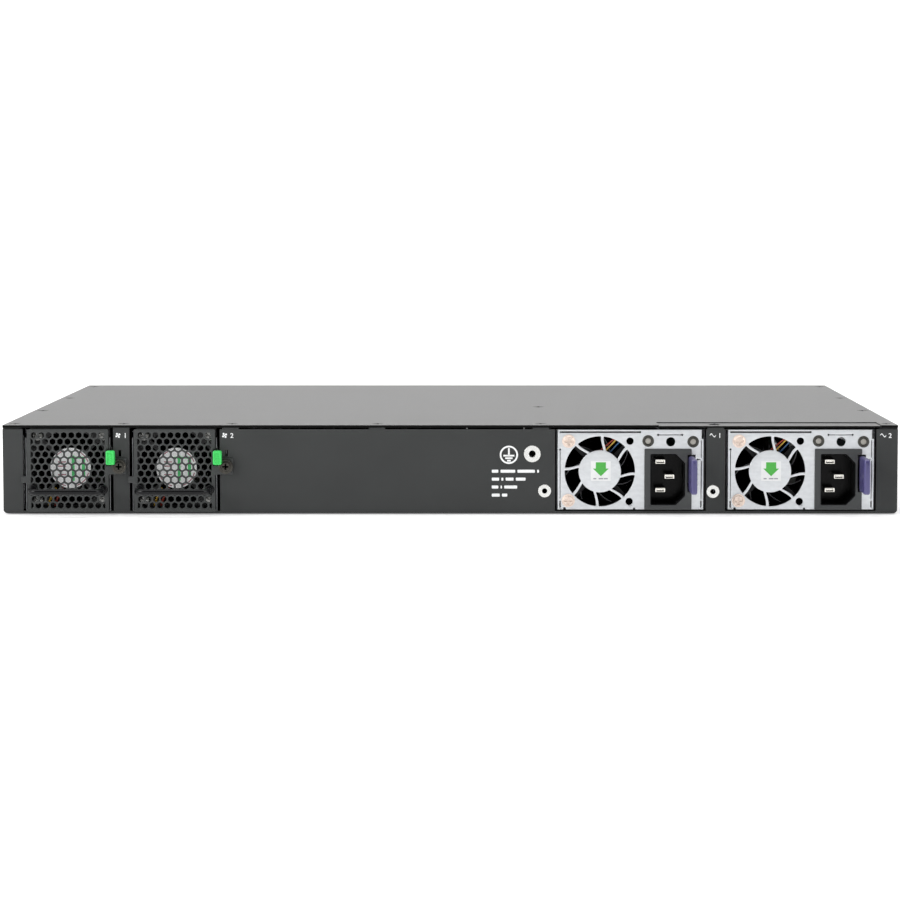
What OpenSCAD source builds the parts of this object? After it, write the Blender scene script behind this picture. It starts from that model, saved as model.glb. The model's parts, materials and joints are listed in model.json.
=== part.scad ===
// Rackmount network switch, one rack unit high, with two plug-in fan modules and two plug-in supplies.
// X runs left to right seen from the rear, Y from the rear wall towards the front ports, Z is up.
// A depth is measured from the outer face of the rear wall towards the front.

/* [Chassis] */
// Width of the chassis between its side walls' outer faces
body_w = 440; // [438:1:442]
// Depth from the rear wall to the face of the front bezel
body_d = 310; // [305:5:340]
// Height over the cover, one rack unit less its clearance
body_h = 44; // [43.8:0.1:44.2]
// Thickness of the sheet steel
sheet = 1.2; // [1:0.1:1.3]
// Height of the pressed bosses that the chassis rests on
boss_h = 0.5; // [0.3:0.1:0.6]
// Radius of the two folded edges along the underside
fold_r = 2; // [1.5:0.1:2.4]

/* [Fan modules] */
// Distance between the two fan modules
fan_pitch = 52.4; // [52:0.1:53]
// Side of a fan's square frame
fan_size = 39.6; // [39:0.1:39.8]
// Depth of a fan's frame
fan_depth = 28; // [20:1:30]
// Distance between neighbouring holes of the grille
hole_pitch = 3.68; // [3.5:0.02:3.8]
// Width of a grille hole across its flats
hole_flats = 2.9; // [2.5:0.1:3]
// Thickness of the pull handle's rod
handle_rod = 3; // [2.4:0.1:3.4]
// Reach of the pull handle from the grille plate to the middle of its rod
handle_reach = 13.5; // [12:0.5:16]
// Travel of the fan latch when it is pressed
fan_latch_travel = 1.2; // [0.8:0.1:1.3]

/* [Power supplies] */
// Width of a supply's case
psu_w = 73; // [72:0.5:73]
// Height of a supply's case
psu_h = 39.5; // [39:0.1:39.6]
// Length of a supply's case
psu_l = 185; // [180:1:186]
// Distance between the two supplies
psu_pitch = 83.7; // [83.5:0.1:84]
// Reach of the release lever behind the rear wall
lever_reach = 24; // [18:1:26]
// Outer radius of the finger guard's openings
guard_r = 17.3; // [16.5:0.1:17.4]
// Radius of the finger guard's solid middle
guard_hub_r = 10.4; // [9:0.1:11]

/* [Front ports] */
// Distance between neighbouring jacks
jack_pitch = 14; // [13.9:0.1:14]
// Jacks in one row of a block
jacks_in_row = 6; // [4:1:6]
// Height of a jack's mouth
jack_h = 10; // [9.6:0.1:10.2]
// Distance between neighbouring optical cages
cage_pitch = 14.9; // [14.8:0.1:15.2]
// How far the optical cages stand proud of the bezel
cage_proud = 0.8; // [0.6:0.1:1]

/* [Hidden] */
$fn = 48;
cut = 1;                                        // how far a cutting shape runs past a face
rear_y = -(body_d + cage_proud - lever_reach) / 2;

// levels
floor_z = boss_h;
floor_top = floor_z + sheet;
cover_z = body_h - sheet;
wall_top = cover_z - 0.8;
inner_x = body_w / 2 - sheet;
board_z = 5;
board_t = 1.6;
board_top = board_z + board_t;

// rear wall
bay_bottom = floor_top;
fan_x = -187.9;                                 // middle of the first fan module
fan_bay_half = 22.2;
psu_x = 88.6;                                   // middle of the first supply
psu_bay_half = 37.1;
tab_w = 8;
tab_l = 14;
rear_screw_d = 10;
panel_screw_x = [fan_x + fan_pitch / 2, -108, -36, 44.5, psu_x + psu_pitch / 2];
corner_screw_x = body_w / 2 - 4.5;
side_screw_d = [100, 197, 297];
cover_post = [45.5, 128];
screw_r = 3;
screw_core_r = 1.25;
earth_xz = [40.3, 29.9];
small_insert_xz = [[46.4, 11.6], [129.2, 11.3]];
latch_slot_x = [24.8, 26.1];                    // from the fan module's middle
latch_slot_z = [28.6, 31.7];
strip_x = [102.6, 211.5];
strip_d = 19;
seam = 0.02;                                    // gap between plates that are folded or welded together
insert_hole_r = screw_core_r;
insert_proud = 0.4;
rack_hole_d = [body_d - 50, body_d - 20];
rack_hole_z = [12, 32];
rack_hole_r = 1.65;

// fan module
plate_half = 20.4;
plate_z = [1.3, 42];
plate_d = [-1.3, -0.3];
fan_z = 22.2;
grille_half = 18.2;
grille_rows = 12;
grille_row_step = 3.15;
grille_z0 = 4.5;
field_z = [3, 40.8];
ear_z = [19.8, 27.8];
ear_x = 28.7;
hook_x = -22.9;
hook_z = [15.6, 18.9];
captive = [25.2, 23.8];
latch_z = [24.6, 31.9];
handle_half = 17.2;
handle_z = 12.4;
handle_bend = 4;
fan_d0 = 8;
tray_half = 20.8;
tray_t = 0.5;
tray_z = [1.3 + boss_h, 38];
tray_l = 92;
plug_z = [13, 18];
plug_half = 6;
plug_tip_d = 98.2;
fan_pin_r = 1.5;
running = 0.05;                                 // radial clearance of a running fit

// power supply
psu_z = [2.4, 2.4 + psu_h];
face_d = [-0.6, 0.4];
case_t = 0.6;
guard_xz = [-15.1, 21.3];                       // middle of the finger guard from the supply's middle
spokes = 8;
spoke_w = 1;
spoke_bend_r = 11;
spoke_lean = 10;
spoke_start = 31;
psu_fan_d0 = 2.2;
psu_fan_size = 36.4;
psu_fan_depth = 28;
face_hole_xz = [[-0.3, 36.2], [-0.6, 6.4]];
face_screw_xz = [[-30.4, 36.2], [-30.6, 6.9]];
spare_hole_xz = [19.7, 35.9];
// slots of the face, each as its ends along X and along Z
face_slots = [[[13.6, 25.3], [39, 39.5]], [[-34.6, 4.8], [40.3, 40.9]],
              [[34.9, 35.3], [3.6, 6.6]], [[34.9, 35.3], [8.4, 26.8]], [[34.9, 35.3], [28, 37.4]],
              [[-35.2, -34.8], [3.6, 6.6]], [[-35.2, -34.8], [8.4, 31.2]]];
lead_root_xz = [[-14.4, 31.6], [-12.2, 31.1], [-10.2, 30.2]];
lead_rim_xz = [[-7.8, 37.3], [-7.5, 36.3], [-5.8, 35.2]];
inlet_x = [6.8, 30];
inlet_z = [2.4, 32.4];
inlet_depth = 20;
mouth_x = [10.2, 26.4];
mouth_z = [5.2, 29.5];
mouth_chamfer = 4.5;
mouth_d = 16;
blade_xz = [[15, 25.6], [19.6, 18.2], [15, 11.5]];
lever_x = 29.8;                                 // middle of the release lever
lever_pivot_d = 30;
lever_z = [11.8, 29.2];
lever_slot_x = [28, 31.9];
indicator_xz = [[8.6, 36.3], [30.7, 35.9]];
lever_arm_z = [lever_z[0] + 1.4, lever_z[1] - 3];
fingers_half = 26;
psu_board_z = 9.2;
socket_d = 187;

// front
front_z = floor_top + 6;
block_x = [-170, -80];
block_h = 27.6;
block_l = 30;
jack_wall = 1.8;
jack_shelf = [1.6, 4.4, 1.6];
cage_x = 40;
cage_l = 48;
cage_h = 8.9;
cage_wall = 1;
cage_z = front_z + 1.6;
grille_x = [112, 204];
grille_front_z = [8, 36];
usb = [82, 25, 14, 6.8];                         // left, bottom, width and height of the shell
console = [84, 17, 9.4, 3.4];
port_gap = 0.2;
reset_xz = [98, 13];
pipe_z = 39.4;
pipe_r = 0.95;
pipe_offset = 3;                                // of a jack's two light pipes from the jack's middle
pipe_x = concat([for (b = block_x, i = [0 : jacks_in_row - 1], s = [-1, 1])
                     b + jack_wall / 2 + (i + 0.5) * jack_pitch + s * pipe_offset],
                [for (i = [0 : 2]) cage_x + 6 + i * 8]);

function fan_mid(k) = fan_x + k * fan_pitch;
function psu_mid(k) = psu_x + k * psu_pitch;
function block_w() = jacks_in_row * jack_pitch + jack_wall;

// A box given by its ends along X, along the depth and along Z
module block(x, d, z) {
    translate([x[0], rear_y + d[0], z[0]])
        cube([x[1] - x[0], d[1] - d[0], z[1] - z[0]]);
}

// A rod along the depth
module rod_y(x, z, d, r) {
    translate([x, rear_y + d[0], z])
        rotate([-90, 0, 0])
            cylinder(h = d[1] - d[0], r = r);
}

// A rod across the chassis
module rod_x(x, d, z, r) {
    translate([x[0], rear_y + d, z])
        rotate([0, 90, 0])
            cylinder(h = x[1] - x[0], r = r);
}

// An upright rod
module rod_z(x, d, z, r) {
    translate([x, rear_y + d, z[0]])
        cylinder(h = z[1] - z[0], r = r);
}

// A flat outline in X and Z, given a thickness along the depth
module plate(d) {
    translate([0, rear_y + d[1], 0])
        rotate([90, 0, 0])
            linear_extrude(height = d[1] - d[0])
                children();
}

module rect(x, z) {
    translate([x[0], z[0]])
        square([x[1] - x[0], z[1] - z[0]]);
}

module dot(x, z, r) {
    translate([x, z])
        circle(r = r);
}

// The chassis outline with its two rounded lower edges
module body_outline(half, bottom, top, r) {
    rect([-half, half], [bottom + r, top]);
    rect([r - half, half - r], [bottom, top]);
    dot(r - half, bottom + r, r);
    dot(half - r, bottom + r, r);
}

// A straight round bar between two points given as [x, depth, z]
module bar(a, b, r) {
    run = b - a;
    length = norm(run);
    translate([a[0], rear_y + a[1], a[2]])
        rotate([0, acos(run[2] / length), atan2(run[1], run[0])])
            cylinder(h = length, r = r);
}

// A lead or bent rod through several points
module bent_bar(points, r) {
    for (i = [0 : len(points) - 2]) {
        bar(points[i], points[i + 1], r);
        if (i > 0)
            translate([points[i][0], rear_y + points[i][1], points[i][2]])
                sphere(r = r * 1.1);
    }
}

// A cross recess cut into a screw head whose face looks along -Y or up
module cross_recess(r, depth) {
    slot_w = r * 0.34;
    for (turn = [0, 90])
        rotate([0, 0, turn])
            translate([-r * 0.62, -slot_w / 2, -depth])
                cube([r * 1.24, slot_w, depth + cut]);
}

module cover_screw(x, d) {
    head_h = sheet - 0.15;
    length = 5;
    translate([x, rear_y + d, body_h - 0.1])
        difference() {
            union() {
                translate([0, 0, -head_h])
                    cylinder(h = head_h, r1 = screw_core_r + 0.3, r2 = screw_r - 0.2);
                translate([0, 0, -length])
                    cylinder(h = length - head_h, r = screw_core_r - 0.05);
            }
            cross_recess(screw_r, 0.8);
        }
}

module countersink(x, d) {
    translate([x, rear_y + d, cover_z])
        cylinder(h = sheet, r1 = screw_core_r + 0.35, r2 = screw_r);
    translate([x, rear_y + d, cover_z - cut])
        cylinder(h = sheet + 2 * cut, r = screw_core_r + 0.35);
}

// ---- chassis ----

module chassis_tray() {
    boss_r = 9;
    boss_x = 150;
    flange_x = 7.8;
    far = body_d - sheet;
    color([0.25, 0.26, 0.26])
        difference() {
            union() {
                plate([sheet, far])
                    difference() {
                        body_outline(body_w / 2, floor_z, cover_z, fold_r);
                        body_outline(inner_x, floor_top, cover_z + cut, fold_r - 1);
                    }
                plate([0, sheet + 0.2])
                    intersection() {
                        body_outline(body_w / 2, floor_z, cover_z, fold_r);
                        rect([-body_w / 2, body_w / 2], [floor_z, floor_top]);
                    }
                for (side = [-1, 1])
                    block(side < 0 ? [-inner_x - 0.2, flange_x - inner_x] : [inner_x - flange_x, inner_x + 0.2],
                          [sheet, far], [cover_z - sheet, cover_z]);
                for (x = [-boss_x, 0, boss_x], d = [45, body_d - 45])
                    rod_z(x, d, [0, floor_z + 0.2], boss_r);
            }
            for (x = [-corner_screw_x, corner_screw_x], d = concat([rear_screw_d], side_screw_d))
                rod_z(x, d, [cover_z - sheet - cut, cover_z + cut], screw_core_r);
            for (d = rack_hole_d, z = rack_hole_z, side = [-1, 1])
                rod_x(side < 0 ? [-body_w / 2 - cut, cut - inner_x] : [inner_x - cut, body_w / 2 + cut],
                      d, z, rack_hole_r);
        }
}

// The rear wall's uprights, folded up from the floor beside each bay, with tabs for the cover's screws
module rear_panel() {
    edges = concat([-body_w / 2],
                   [for (k = [0, 1], s = [-1, 1]) fan_mid(k) + s * fan_bay_half],
                   [for (k = [0, 1], s = [-1, 1]) psu_mid(k) + s * psu_bay_half],
                   [body_w / 2]);
    color([0.25, 0.26, 0.26])
        difference() {
            union() {
                for (i = [0 : 2 : len(edges) - 2])
                    block([edges[i], edges[i + 1]], [0, sheet], [floor_top + seam, wall_top]);
                for (x = panel_screw_x) {
                    block([x - tab_w / 2, x + tab_w / 2], [sheet / 2, tab_l], [cover_z - sheet, cover_z]);
                    block([x - tab_w / 2, x + tab_w / 2], [sheet / 6, sheet], [wall_top - 6, cover_z]);
                }
            }
            plate([-cut, sheet + cut]) {
                for (k = [0, 1]) {
                    dot(fan_mid(k) + captive[0], captive[1], fan_pin_r + 0.35);
                    rect([fan_mid(k) + latch_slot_x[0], fan_mid(k) + latch_slot_x[1]], latch_slot_z);
                }
                dot(earth_xz[0], earth_xz[1], 3.02);
                for (at = small_insert_xz)
                    dot(at[0], at[1], 2.32);
            }
            for (x = panel_screw_x)
                rod_z(x, rear_screw_d, [cover_z - sheet - cut, cover_z + cut], screw_core_r);
        }
}

module top_cover() {
    gap = 0.3;
    lip_d = body_d - 2 * sheet - 0.4;
    lip_half = 205;
    lip_z = 40.9;
    color([0.3, 0.3, 0.31])
        difference() {
            union() {
                block([-body_w / 2, body_w / 2], [0, body_d - sheet], [cover_z, body_h]);
                block([-lip_half, lip_half], [lip_d, lip_d + sheet], [lip_z, cover_z + 0.2]);
            }
            block([strip_x[0] - gap, strip_x[1] + gap], [-cut, strip_d + gap], [cover_z - cut, body_h + cut]);
            for (x = [-corner_screw_x, corner_screw_x], d = concat([rear_screw_d], side_screw_d))
                countersink(x, d);
            for (x = panel_screw_x)
                countersink(x, rear_screw_d);
            countersink(cover_post[0], cover_post[1]);
        }
}

module rear_top_strip() {
    color([0.34, 0.34, 0.35])
        difference() {
            block(strip_x, [0, strip_d], [cover_z, body_h]);
            countersink(panel_screw_x[4], rear_screw_d);
        }
}

module front_bezel() {
    color([0.2, 0.21, 0.22])
        plate([body_d - sheet, body_d])
            difference() {
                body_outline(body_w / 2, floor_z, body_h, fold_r);
                for (x = block_x)
                    rect([x, x + block_w() + 0.2], [front_z, front_z + block_h]);
                rect([cage_x, cage_x + 2 * cage_pitch + cage_wall],
                     [cage_z, cage_z + 2 * cage_h + 3 * cage_wall]);
                rect(grille_x, grille_front_z);
                for (port = [usb, console])
                    rect([port[0] - port_gap, port[0] + port[2] + port_gap],
                         [port[1] - port_gap, port[1] + port[3] + port_gap]);
                dot(reset_xz[0], reset_xz[1], 1.6);
                for (x = pipe_x)
                    dot(x, pipe_z, pipe_r + 0.1);
            }
}

// Perforated intake plate behind the right-hand window of the bezel
module front_grille() {
    step = 4;
    columns = floor((grille_x[1] - grille_x[0]) / step);
    rows = floor((grille_front_z[1] - grille_front_z[0]) / step);
    margin = 3;
    color([0.14, 0.14, 0.15])
        plate([body_d - 2 * sheet - 0.1, body_d - sheet - 0.1])
            difference() {
                rect([grille_x[0] - margin, grille_x[1] + margin],
                     [grille_front_z[0] - margin, grille_front_z[1] + margin - 1]);
                for (i = [0 : columns - 1], j = [0 : rows - 1])
                    translate([grille_x[0] + (i + 0.5) * step, grille_front_z[0] + (j + 0.5) * step])
                        rotate(30)
                            circle(r = 1.9, $fn = 6);
            }
}

module cover_screws() {
    color([0.2, 0.2, 0.21]) {
        for (x = [-corner_screw_x, corner_screw_x], d = concat([rear_screw_d], side_screw_d))
            cover_screw(x, d);
        for (x = panel_screw_x)
            cover_screw(x, rear_screw_d);
        cover_screw(cover_post[0], cover_post[1]);
    }
}

// A pressed-in threaded insert with a thin ring on the outer face
module insert(at, ring_r, barrel_r, hole_r, length) {
    difference() {
        union() {
            rod_y(at[0], at[1], [-insert_proud, -0.01], ring_r);
            rod_y(at[0], at[1], [-insert_proud, length], barrel_r);
        }
        rod_y(at[0], at[1], [-insert_proud - cut, length + cut], hole_r);
    }
}

module panel_inserts() {
    color([0.75, 0.74, 0.7]) {
        insert(earth_xz, 4.15, 3, rack_hole_r, 4);
        for (at = small_insert_xz)
            insert(at, 3.2, 2.3, insert_hole_r, 4);
    }
}

// Upright walls between the bays, two of them with a foot spot-welded to the floor
module bay_walls() {
    wall_t = 1;
    foot = 5;
    foot_d = 10;
    wall_d = 7;
    fan_walls = [fan_mid(0) - 23.6, fan_mid(0) + fan_pitch / 2 - wall_t / 2, fan_mid(1) + 24];
    psu_walls = [psu_mid(0) - 40, psu_mid(0) + psu_pitch / 2 - wall_t / 2, psu_mid(1) + 38];
    color([0.6, 0.61, 0.62]) {
        for (x = fan_walls)
            bay_wall([x, x + wall_t], wall_d, 96);
        for (x = psu_walls)
            bay_wall([x, x + wall_t], wall_d, 184);
        block([fan_walls[2] + 0.5, fan_walls[2] + foot], [foot_d, 90], [floor_top, floor_top + wall_t]);
        block([psu_walls[0] - foot, psu_walls[0] + 0.5], [foot_d, 110], [floor_top, floor_top + wall_t]);
    }
}

// A wall between two bays, lower at its rear end where the cover's screws reach down
module bay_wall(x, d0, d1) {
    top = 41.2;
    low_top = 38.4;
    block(x, [tab_l + 1, d1], [floor_top, top]);
    block(x, [d0, tab_l + 1], [floor_top, low_top]);
}

// ---- boards and what they carry ----

board_hole_r = 1.7;
board_hole_xd = [[-204, 118], [-120, 118], [-40, 118], [30, 118], [-204, 200], [-60, 204],
                 [-204, 262], [30, 262], [108, 262], [204, 262]];
power_hole_xd = [[62, 224], [204, 224]];

module main_board() {
    left = -211;
    right = 211;
    color([0.05, 0.32, 0.18])
        translate([0, rear_y, board_z])
            linear_extrude(height = board_t)
                difference() {
                    polygon([[left, 98], [40, 98], [40, 236], [right, 236], [right, 304], [left, 304]]);
                    for (at = board_hole_xd)
                        translate(at)
                            circle(r = board_hole_r);
                }
}

module board_standoffs() {
    spacer_r = 2.8;
    color([0.72, 0.6, 0.3]) {
        for (at = concat(board_hole_xd, power_hole_xd))
            difference() {
                rod_z(at[0], at[1], [floor_top, board_z], spacer_r);
                rod_z(at[0], at[1], [floor_top + 1, board_z + cut], screw_core_r);
            }
        difference() {
            rod_z(cover_post[0], cover_post[1], [floor_top, cover_z], 3);
            rod_z(cover_post[0], cover_post[1], [cover_z - 8, cover_z + cut], screw_core_r);
        }
    }
}

module board_screws() {
    head_r = 2.8;
    head_h = 2;
    color([0.7, 0.7, 0.72])
        for (at = concat(board_hole_xd, power_hole_xd))
            difference() {
                union() {
                    rod_z(at[0], at[1], [board_top, board_top + head_h], head_r);
                    rod_z(at[0], at[1], [board_top - 3.5, board_top], screw_core_r - 0.05);
                }
                translate([at[0], rear_y + at[1], board_top + head_h])
                    cross_recess(head_r, 1);
            }
}

// One block of stacked jacks, folded from flat plates: shelves, uprights and a back
module jack_block(x0) {
    z1 = front_z + jack_shelf[0];
    z2 = z1 + jack_h;
    z3 = z2 + jack_shelf[1];
    z4 = z3 + jack_h;
    front = body_d + 0.3;
    back = front - 14;
    block([x0, x0 + block_w()], [back, front], [front_z, z1]);
    block([x0, x0 + block_w()], [back, front], [z2, z3]);
    block([x0, x0 + block_w()], [back, front], [z4, front_z + block_h]);
    block([x0, x0 + block_w()], [front - block_l, back - seam], [front_z, front_z + block_h]);
    for (i = [0 : jacks_in_row], z = [z1, z3])
        block([x0 + i * jack_pitch, x0 + i * jack_pitch + jack_wall], [back, front],
              [z + seam, z + jack_h - seam]);
}

module rj45_blocks() {
    color([0.7, 0.71, 0.73])
        for (x = block_x)
            jack_block(x + 0.1);
}

// Eight sprung contact wires at the back of each jack
module rj45_contacts() {
    wires = 8;
    wire_step = 1.02;
    wire_r = 0.22;
    color([0.85, 0.68, 0.3])
        for (x0 = block_x, i = [0 : jacks_in_row - 1], row = [0, 1], w = [0 : wires - 1]) {
            x = x0 + 0.1 + jack_wall / 2 + (i + 0.5) * jack_pitch + (w - (wires - 1) / 2) * wire_step;
            low = front_z + jack_shelf[0] + row * (jack_h + jack_shelf[1]);
            root = row == 0 ? low + jack_h - 0.3 : low + 0.3;
            tip = row == 0 ? low + jack_h - 1.6 : low + 1.6;
            bar([x, body_d - 13.6, tip], [x, body_d - 6, root], wire_r);
        }
}

module sfp_cages() {
    columns = 2;
    width = columns * cage_pitch + cage_wall;
    front = body_d + cage_proud;
    back = front - cage_l;
    color([0.78, 0.79, 0.8]) {
        for (row = [0 : 2]) {
            z = cage_z + 0.1 + row * (cage_h + cage_wall);
            block([cage_x + 0.1, cage_x + width - 0.1], [back, front], [z, z + cage_wall - 0.1]);
        }
        for (row = [0, 1], i = [0 : columns]) {
            x = cage_x + 0.1 + i * cage_pitch;
            z = cage_z + cage_wall + seam + row * (cage_h + cage_wall);
            block([x, x + cage_wall - 0.2], [back, front], [z, z + cage_h + 0.1 - 2 * seam]);
        }
        block([cage_x + 0.1, cage_x + width - 0.1], [back - cage_wall, back - seam],
              [cage_z + 0.1, cage_z + 2 * cage_h + 3 * cage_wall - 0.1]);
        block([cage_x + 2, cage_x + width - 2], [back, back + 30], [board_top, cage_z + 0.1 - seam]);
    }
}

// A flat shell with a tongue inside, for a port given as [left, bottom, width, height]
module shell_port(port, length, tongue_h) {
    wall = 0.4;
    side = 1.4;                                 // from the shell's side to the tongue's
    x = [port[0], port[0] + port[2]];
    z = [port[1], port[1] + port[3]];
    middle = (z[0] + z[1]) / 2;
    front = body_d + 0.3;
    difference() {
        block(x, [front - length, front], z);
        block([x[0] + wall, x[1] - wall], [front + 1 - length, front + cut], [z[0] + wall, z[1] - wall]);
    }
    block([x[0] + side, x[1] - side], [front + 0.7 - length, body_d - 1.5],
          [middle - tongue_h / 2, middle + tongue_h / 2]);
}

module management_ports() {
    color([0.76, 0.77, 0.78]) {
        shell_port(usb, 14, 2);
        shell_port(console, 9, 0.8);
    }
}

module light_pipes() {
    color([0.85, 0.9, 0.85])
        for (x = pipe_x)
            rod_y(x, pipe_z, [body_d - 8, body_d + 0.2], pipe_r);
}

module chip(x, d, side, height) {
    block([x - side / 2, x + side / 2], [d - side / 2, d + side / 2], [board_top, board_top + height]);
}

switch_chip_xd = [-60, 175];
cpu_xd = [-160, 165];

module board_chips() {
    color([0.1, 0.1, 0.11]) {
        chip(switch_chip_xd[0], switch_chip_xd[1], 45, 3);
        chip(cpu_xd[0], cpu_xd[1], 24, 2.4);
        for (i = [0 : 3])
            chip(cpu_xd[0] - 24 + i * 16, 195, 11, 1.4);
        for (i = [0 : 5])
            chip(-160 + i * 32, 252, 17, 1.8);
        for (i = [0 : 3], d = [140, 156])
            chip(-20 + i * 14, d, 8, 6);
        block([reset_xz[0] - 3, reset_xz[0] + 3], [body_d - 16, body_d - 11.6], [board_top, reset_xz[1] + 3]);
    }
}

module fin_stack(at, side, base_z, base_t, fin_h, fins) {
    fin_t = 1;
    gap = (side - fin_t) / (fins - 1);
    x = at[0] - side / 2;
    d = [at[1] - side / 2, at[1] + side / 2];
    block([x, x + side], d, [base_z, base_z + base_t]);
    for (i = [0 : fins - 1])
        block([x + i * gap, x + i * gap + fin_t], d, [base_z + base_t - 0.1, base_z + base_t + fin_h]);
}

module heatsink() {
    color([0.75, 0.76, 0.78]) {
        fin_stack(switch_chip_xd, 66, board_top + 3, 4, 20, 15);
        fin_stack(cpu_xd, 30, board_top + 2.4, 3, 12, 8);
    }
}

module power_board() {
    can_r = 6;
    can_top = 24;
    color([0.05, 0.28, 0.16])
        difference() {
            block([54, 210], [socket_d, 230], [board_z, board_top]);
            for (at = power_hole_xd)
                rod_z(at[0], at[1], [board_z - cut, board_top + cut], board_hole_r);
        }
    color([0.12, 0.12, 0.14])
        for (i = [0 : 5])
            rod_z(78 + i * 22, 219, [board_top - 0.1, can_top], can_r);
}

// Sockets that the supplies' board edges and the fan modules' plugs slide into
module module_sockets() {
    slot = 0.35;
    psu_half = fingers_half + slot;
    fan_half = plug_half + slot;
    fan_socket_d = plug_tip_d + 0.3;
    color([0.13, 0.13, 0.14])
        for (k = [0, 1]) {
            difference() {
                block([psu_mid(k) - fingers_half - 3, psu_mid(k) + fingers_half + 3], [socket_d, socket_d + 12],
                      [board_top, 14.4]);
                block([psu_mid(k) - psu_half, psu_mid(k) + psu_half], [socket_d - cut, socket_d + 7],
                      [psu_board_z - slot, psu_board_z + board_t + slot]);
            }
            difference() {
                block([fan_mid(k) - 10, fan_mid(k) + 10], [fan_socket_d, 108], [board_top, 21]);
                block([fan_mid(k) - fan_half, fan_mid(k) + fan_half], [fan_socket_d - cut, 105],
                      [plug_z[0] - slot, plug_z[1] + slot]);
            }
        }
}

module reset_button() {
    color([0.55, 0.55, 0.56]) {
        rod_y(reset_xz[0], reset_xz[1], [body_d - 10.4, body_d - 0.3], 1.2);
        rod_y(reset_xz[0], reset_xz[1], [body_d - 5, body_d - 3.5], 2.6);
    }
}

// ---- fan modules ----

module grille_field(x) {
    intersection() {
        rect([x - grille_half, x + grille_half], field_z);
        for (row = [0 : grille_rows - 1], i = [-5 : 5])
            if (row % 2 == 0 || i < 5)
                translate([x + (i + (row % 2) / 2) * hole_pitch, grille_z0 + row * grille_row_step])
                    rotate(30)
                        circle(r = hole_flats / sqrt(3), $fn = 6);
    }
}

module fan_face(k) {
    x = fan_mid(k);
    color([0.24, 0.25, 0.25])
        plate(plate_d)
            difference() {
                union() {
                    rect([x - plate_half, x + plate_half], plate_z);
                    rect([x + plate_half - cut, x + ear_x], ear_z);
                    rect([x + hook_x, x - plate_half + cut], hook_z);
                }
                grille_field(x);
                rect([x + 18.9, x + plate_half + 1.6], [latch_z[0] - 0.6, latch_z[1] + 0.6]);
                dot(x + captive[0], captive[1], fan_pin_r + running);
            }
}

module fan_tray(k) {
    x = fan_mid(k);
    color([0.62, 0.63, 0.64])
        difference() {
            block([x - tray_half, x + tray_half], [plate_d[1], tray_l], tray_z);
            block([x - tray_half + tray_t, x + tray_half - tray_t], [plate_d[1] - cut, tray_l + cut],
                  [tray_z[0] + tray_t, tray_z[1] + cut]);
            block([x + tray_half - 2, x + tray_half + cut], [plate_d[1] - cut, 7.6],
                  [latch_z[0] - 0.8, latch_z[1] + 0.8]);
        }
}

module fan_handle(k) {
    x = fan_mid(k);
    r = handle_rod / 2;
    out = plate_d[0] - handle_reach;
    color([0.12, 0.12, 0.13]) {
        rod_x([x - handle_half + handle_bend, x + handle_half - handle_bend], out, handle_z, r);
        for (side = [-1, 1]) {
            rod_y(x + side * handle_half, handle_z, [out + handle_bend, plate_d[0]], r);
            translate([x + side * (handle_half - handle_bend), rear_y + out + handle_bend, handle_z])
                rotate([0, 0, side < 0 ? 180 : -90])
                    rotate_extrude(angle = 90)
                        translate([handle_bend, 0])
                            circle(r = r);
        }
    }
}

// Green release latch: a thumb pad on a flat arm that runs in beside the tray
module fan_latch(k) {
    x = fan_mid(k);
    arm_x = [x + 20.9, x + 21.4];
    arm_z = [latch_z[0] + 0.8, latch_z[1] - 0.8];
    arm_end = 7;
    color([0.15, 0.85, 0.3]) {
        block([x + 18.8, x + 23.4], [-7.5, -4], latch_z);
        block(arm_x, [-4.1, arm_end], arm_z);
        block([arm_x[0] - 0.6, arm_x[1]], [arm_end - 3, arm_end], arm_z);
    }
}

module fan_screw(k) {
    head_r = 3.65;
    color([0.35, 0.35, 0.36])
        translate([fan_mid(k) + captive[0], rear_y, captive[1]])
            rotate([90, 0, 0])
                difference() {
                    union() {
                        translate([0, 0, 1.4])
                            cylinder(h = 2, r = head_r);
                        translate([0, 0, -6])
                            cylinder(h = 7.5, r = fan_pin_r);
                    }
                    translate([0, 0, 3.4])
                        cross_recess(head_r, 1.2);
                }
}

// A square fan frame with a round bore, a hub held by four struts, its motor coil and a bearing tube
module axial_frame(x, z, d0, side, bore_r, hub_r, depth, screw_spacing, screw_hole_r) {
    strut_w = 1.8;
    difference() {
        block([x - side / 2, x + side / 2], [d0, d0 + depth], [z - side / 2, z + side / 2]);
        rod_y(x, z, [d0 - cut, d0 + depth + cut], bore_r);
        for (sx = [-1, 1], sz = [-1, 1])
            rod_y(x + sx * screw_spacing / 2, z + sz * screw_spacing / 2, [d0 - cut, d0 + depth + cut],
                  screw_hole_r);
    }
    difference() {
        union() {
            rod_y(x, z, [d0, d0 + 2.5], hub_r);
            rod_y(x, z, [d0, d0 + depth - 8], 2.6);
            rod_y(x, z, [d0 + 2, d0 + depth - 10], hub_r - 3);
            for (turn = [45, 135])
                translate([x, rear_y + d0, z])
                    rotate([0, turn, 0])
                        translate([-bore_r - 0.4, 0, -strut_w / 2])
                            cube([2 * bore_r + 0.8, 2, strut_w]);
        }
        rod_y(x, z, [d0 + 1, d0 + depth], fan_pin_r + running);
    }
}

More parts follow.
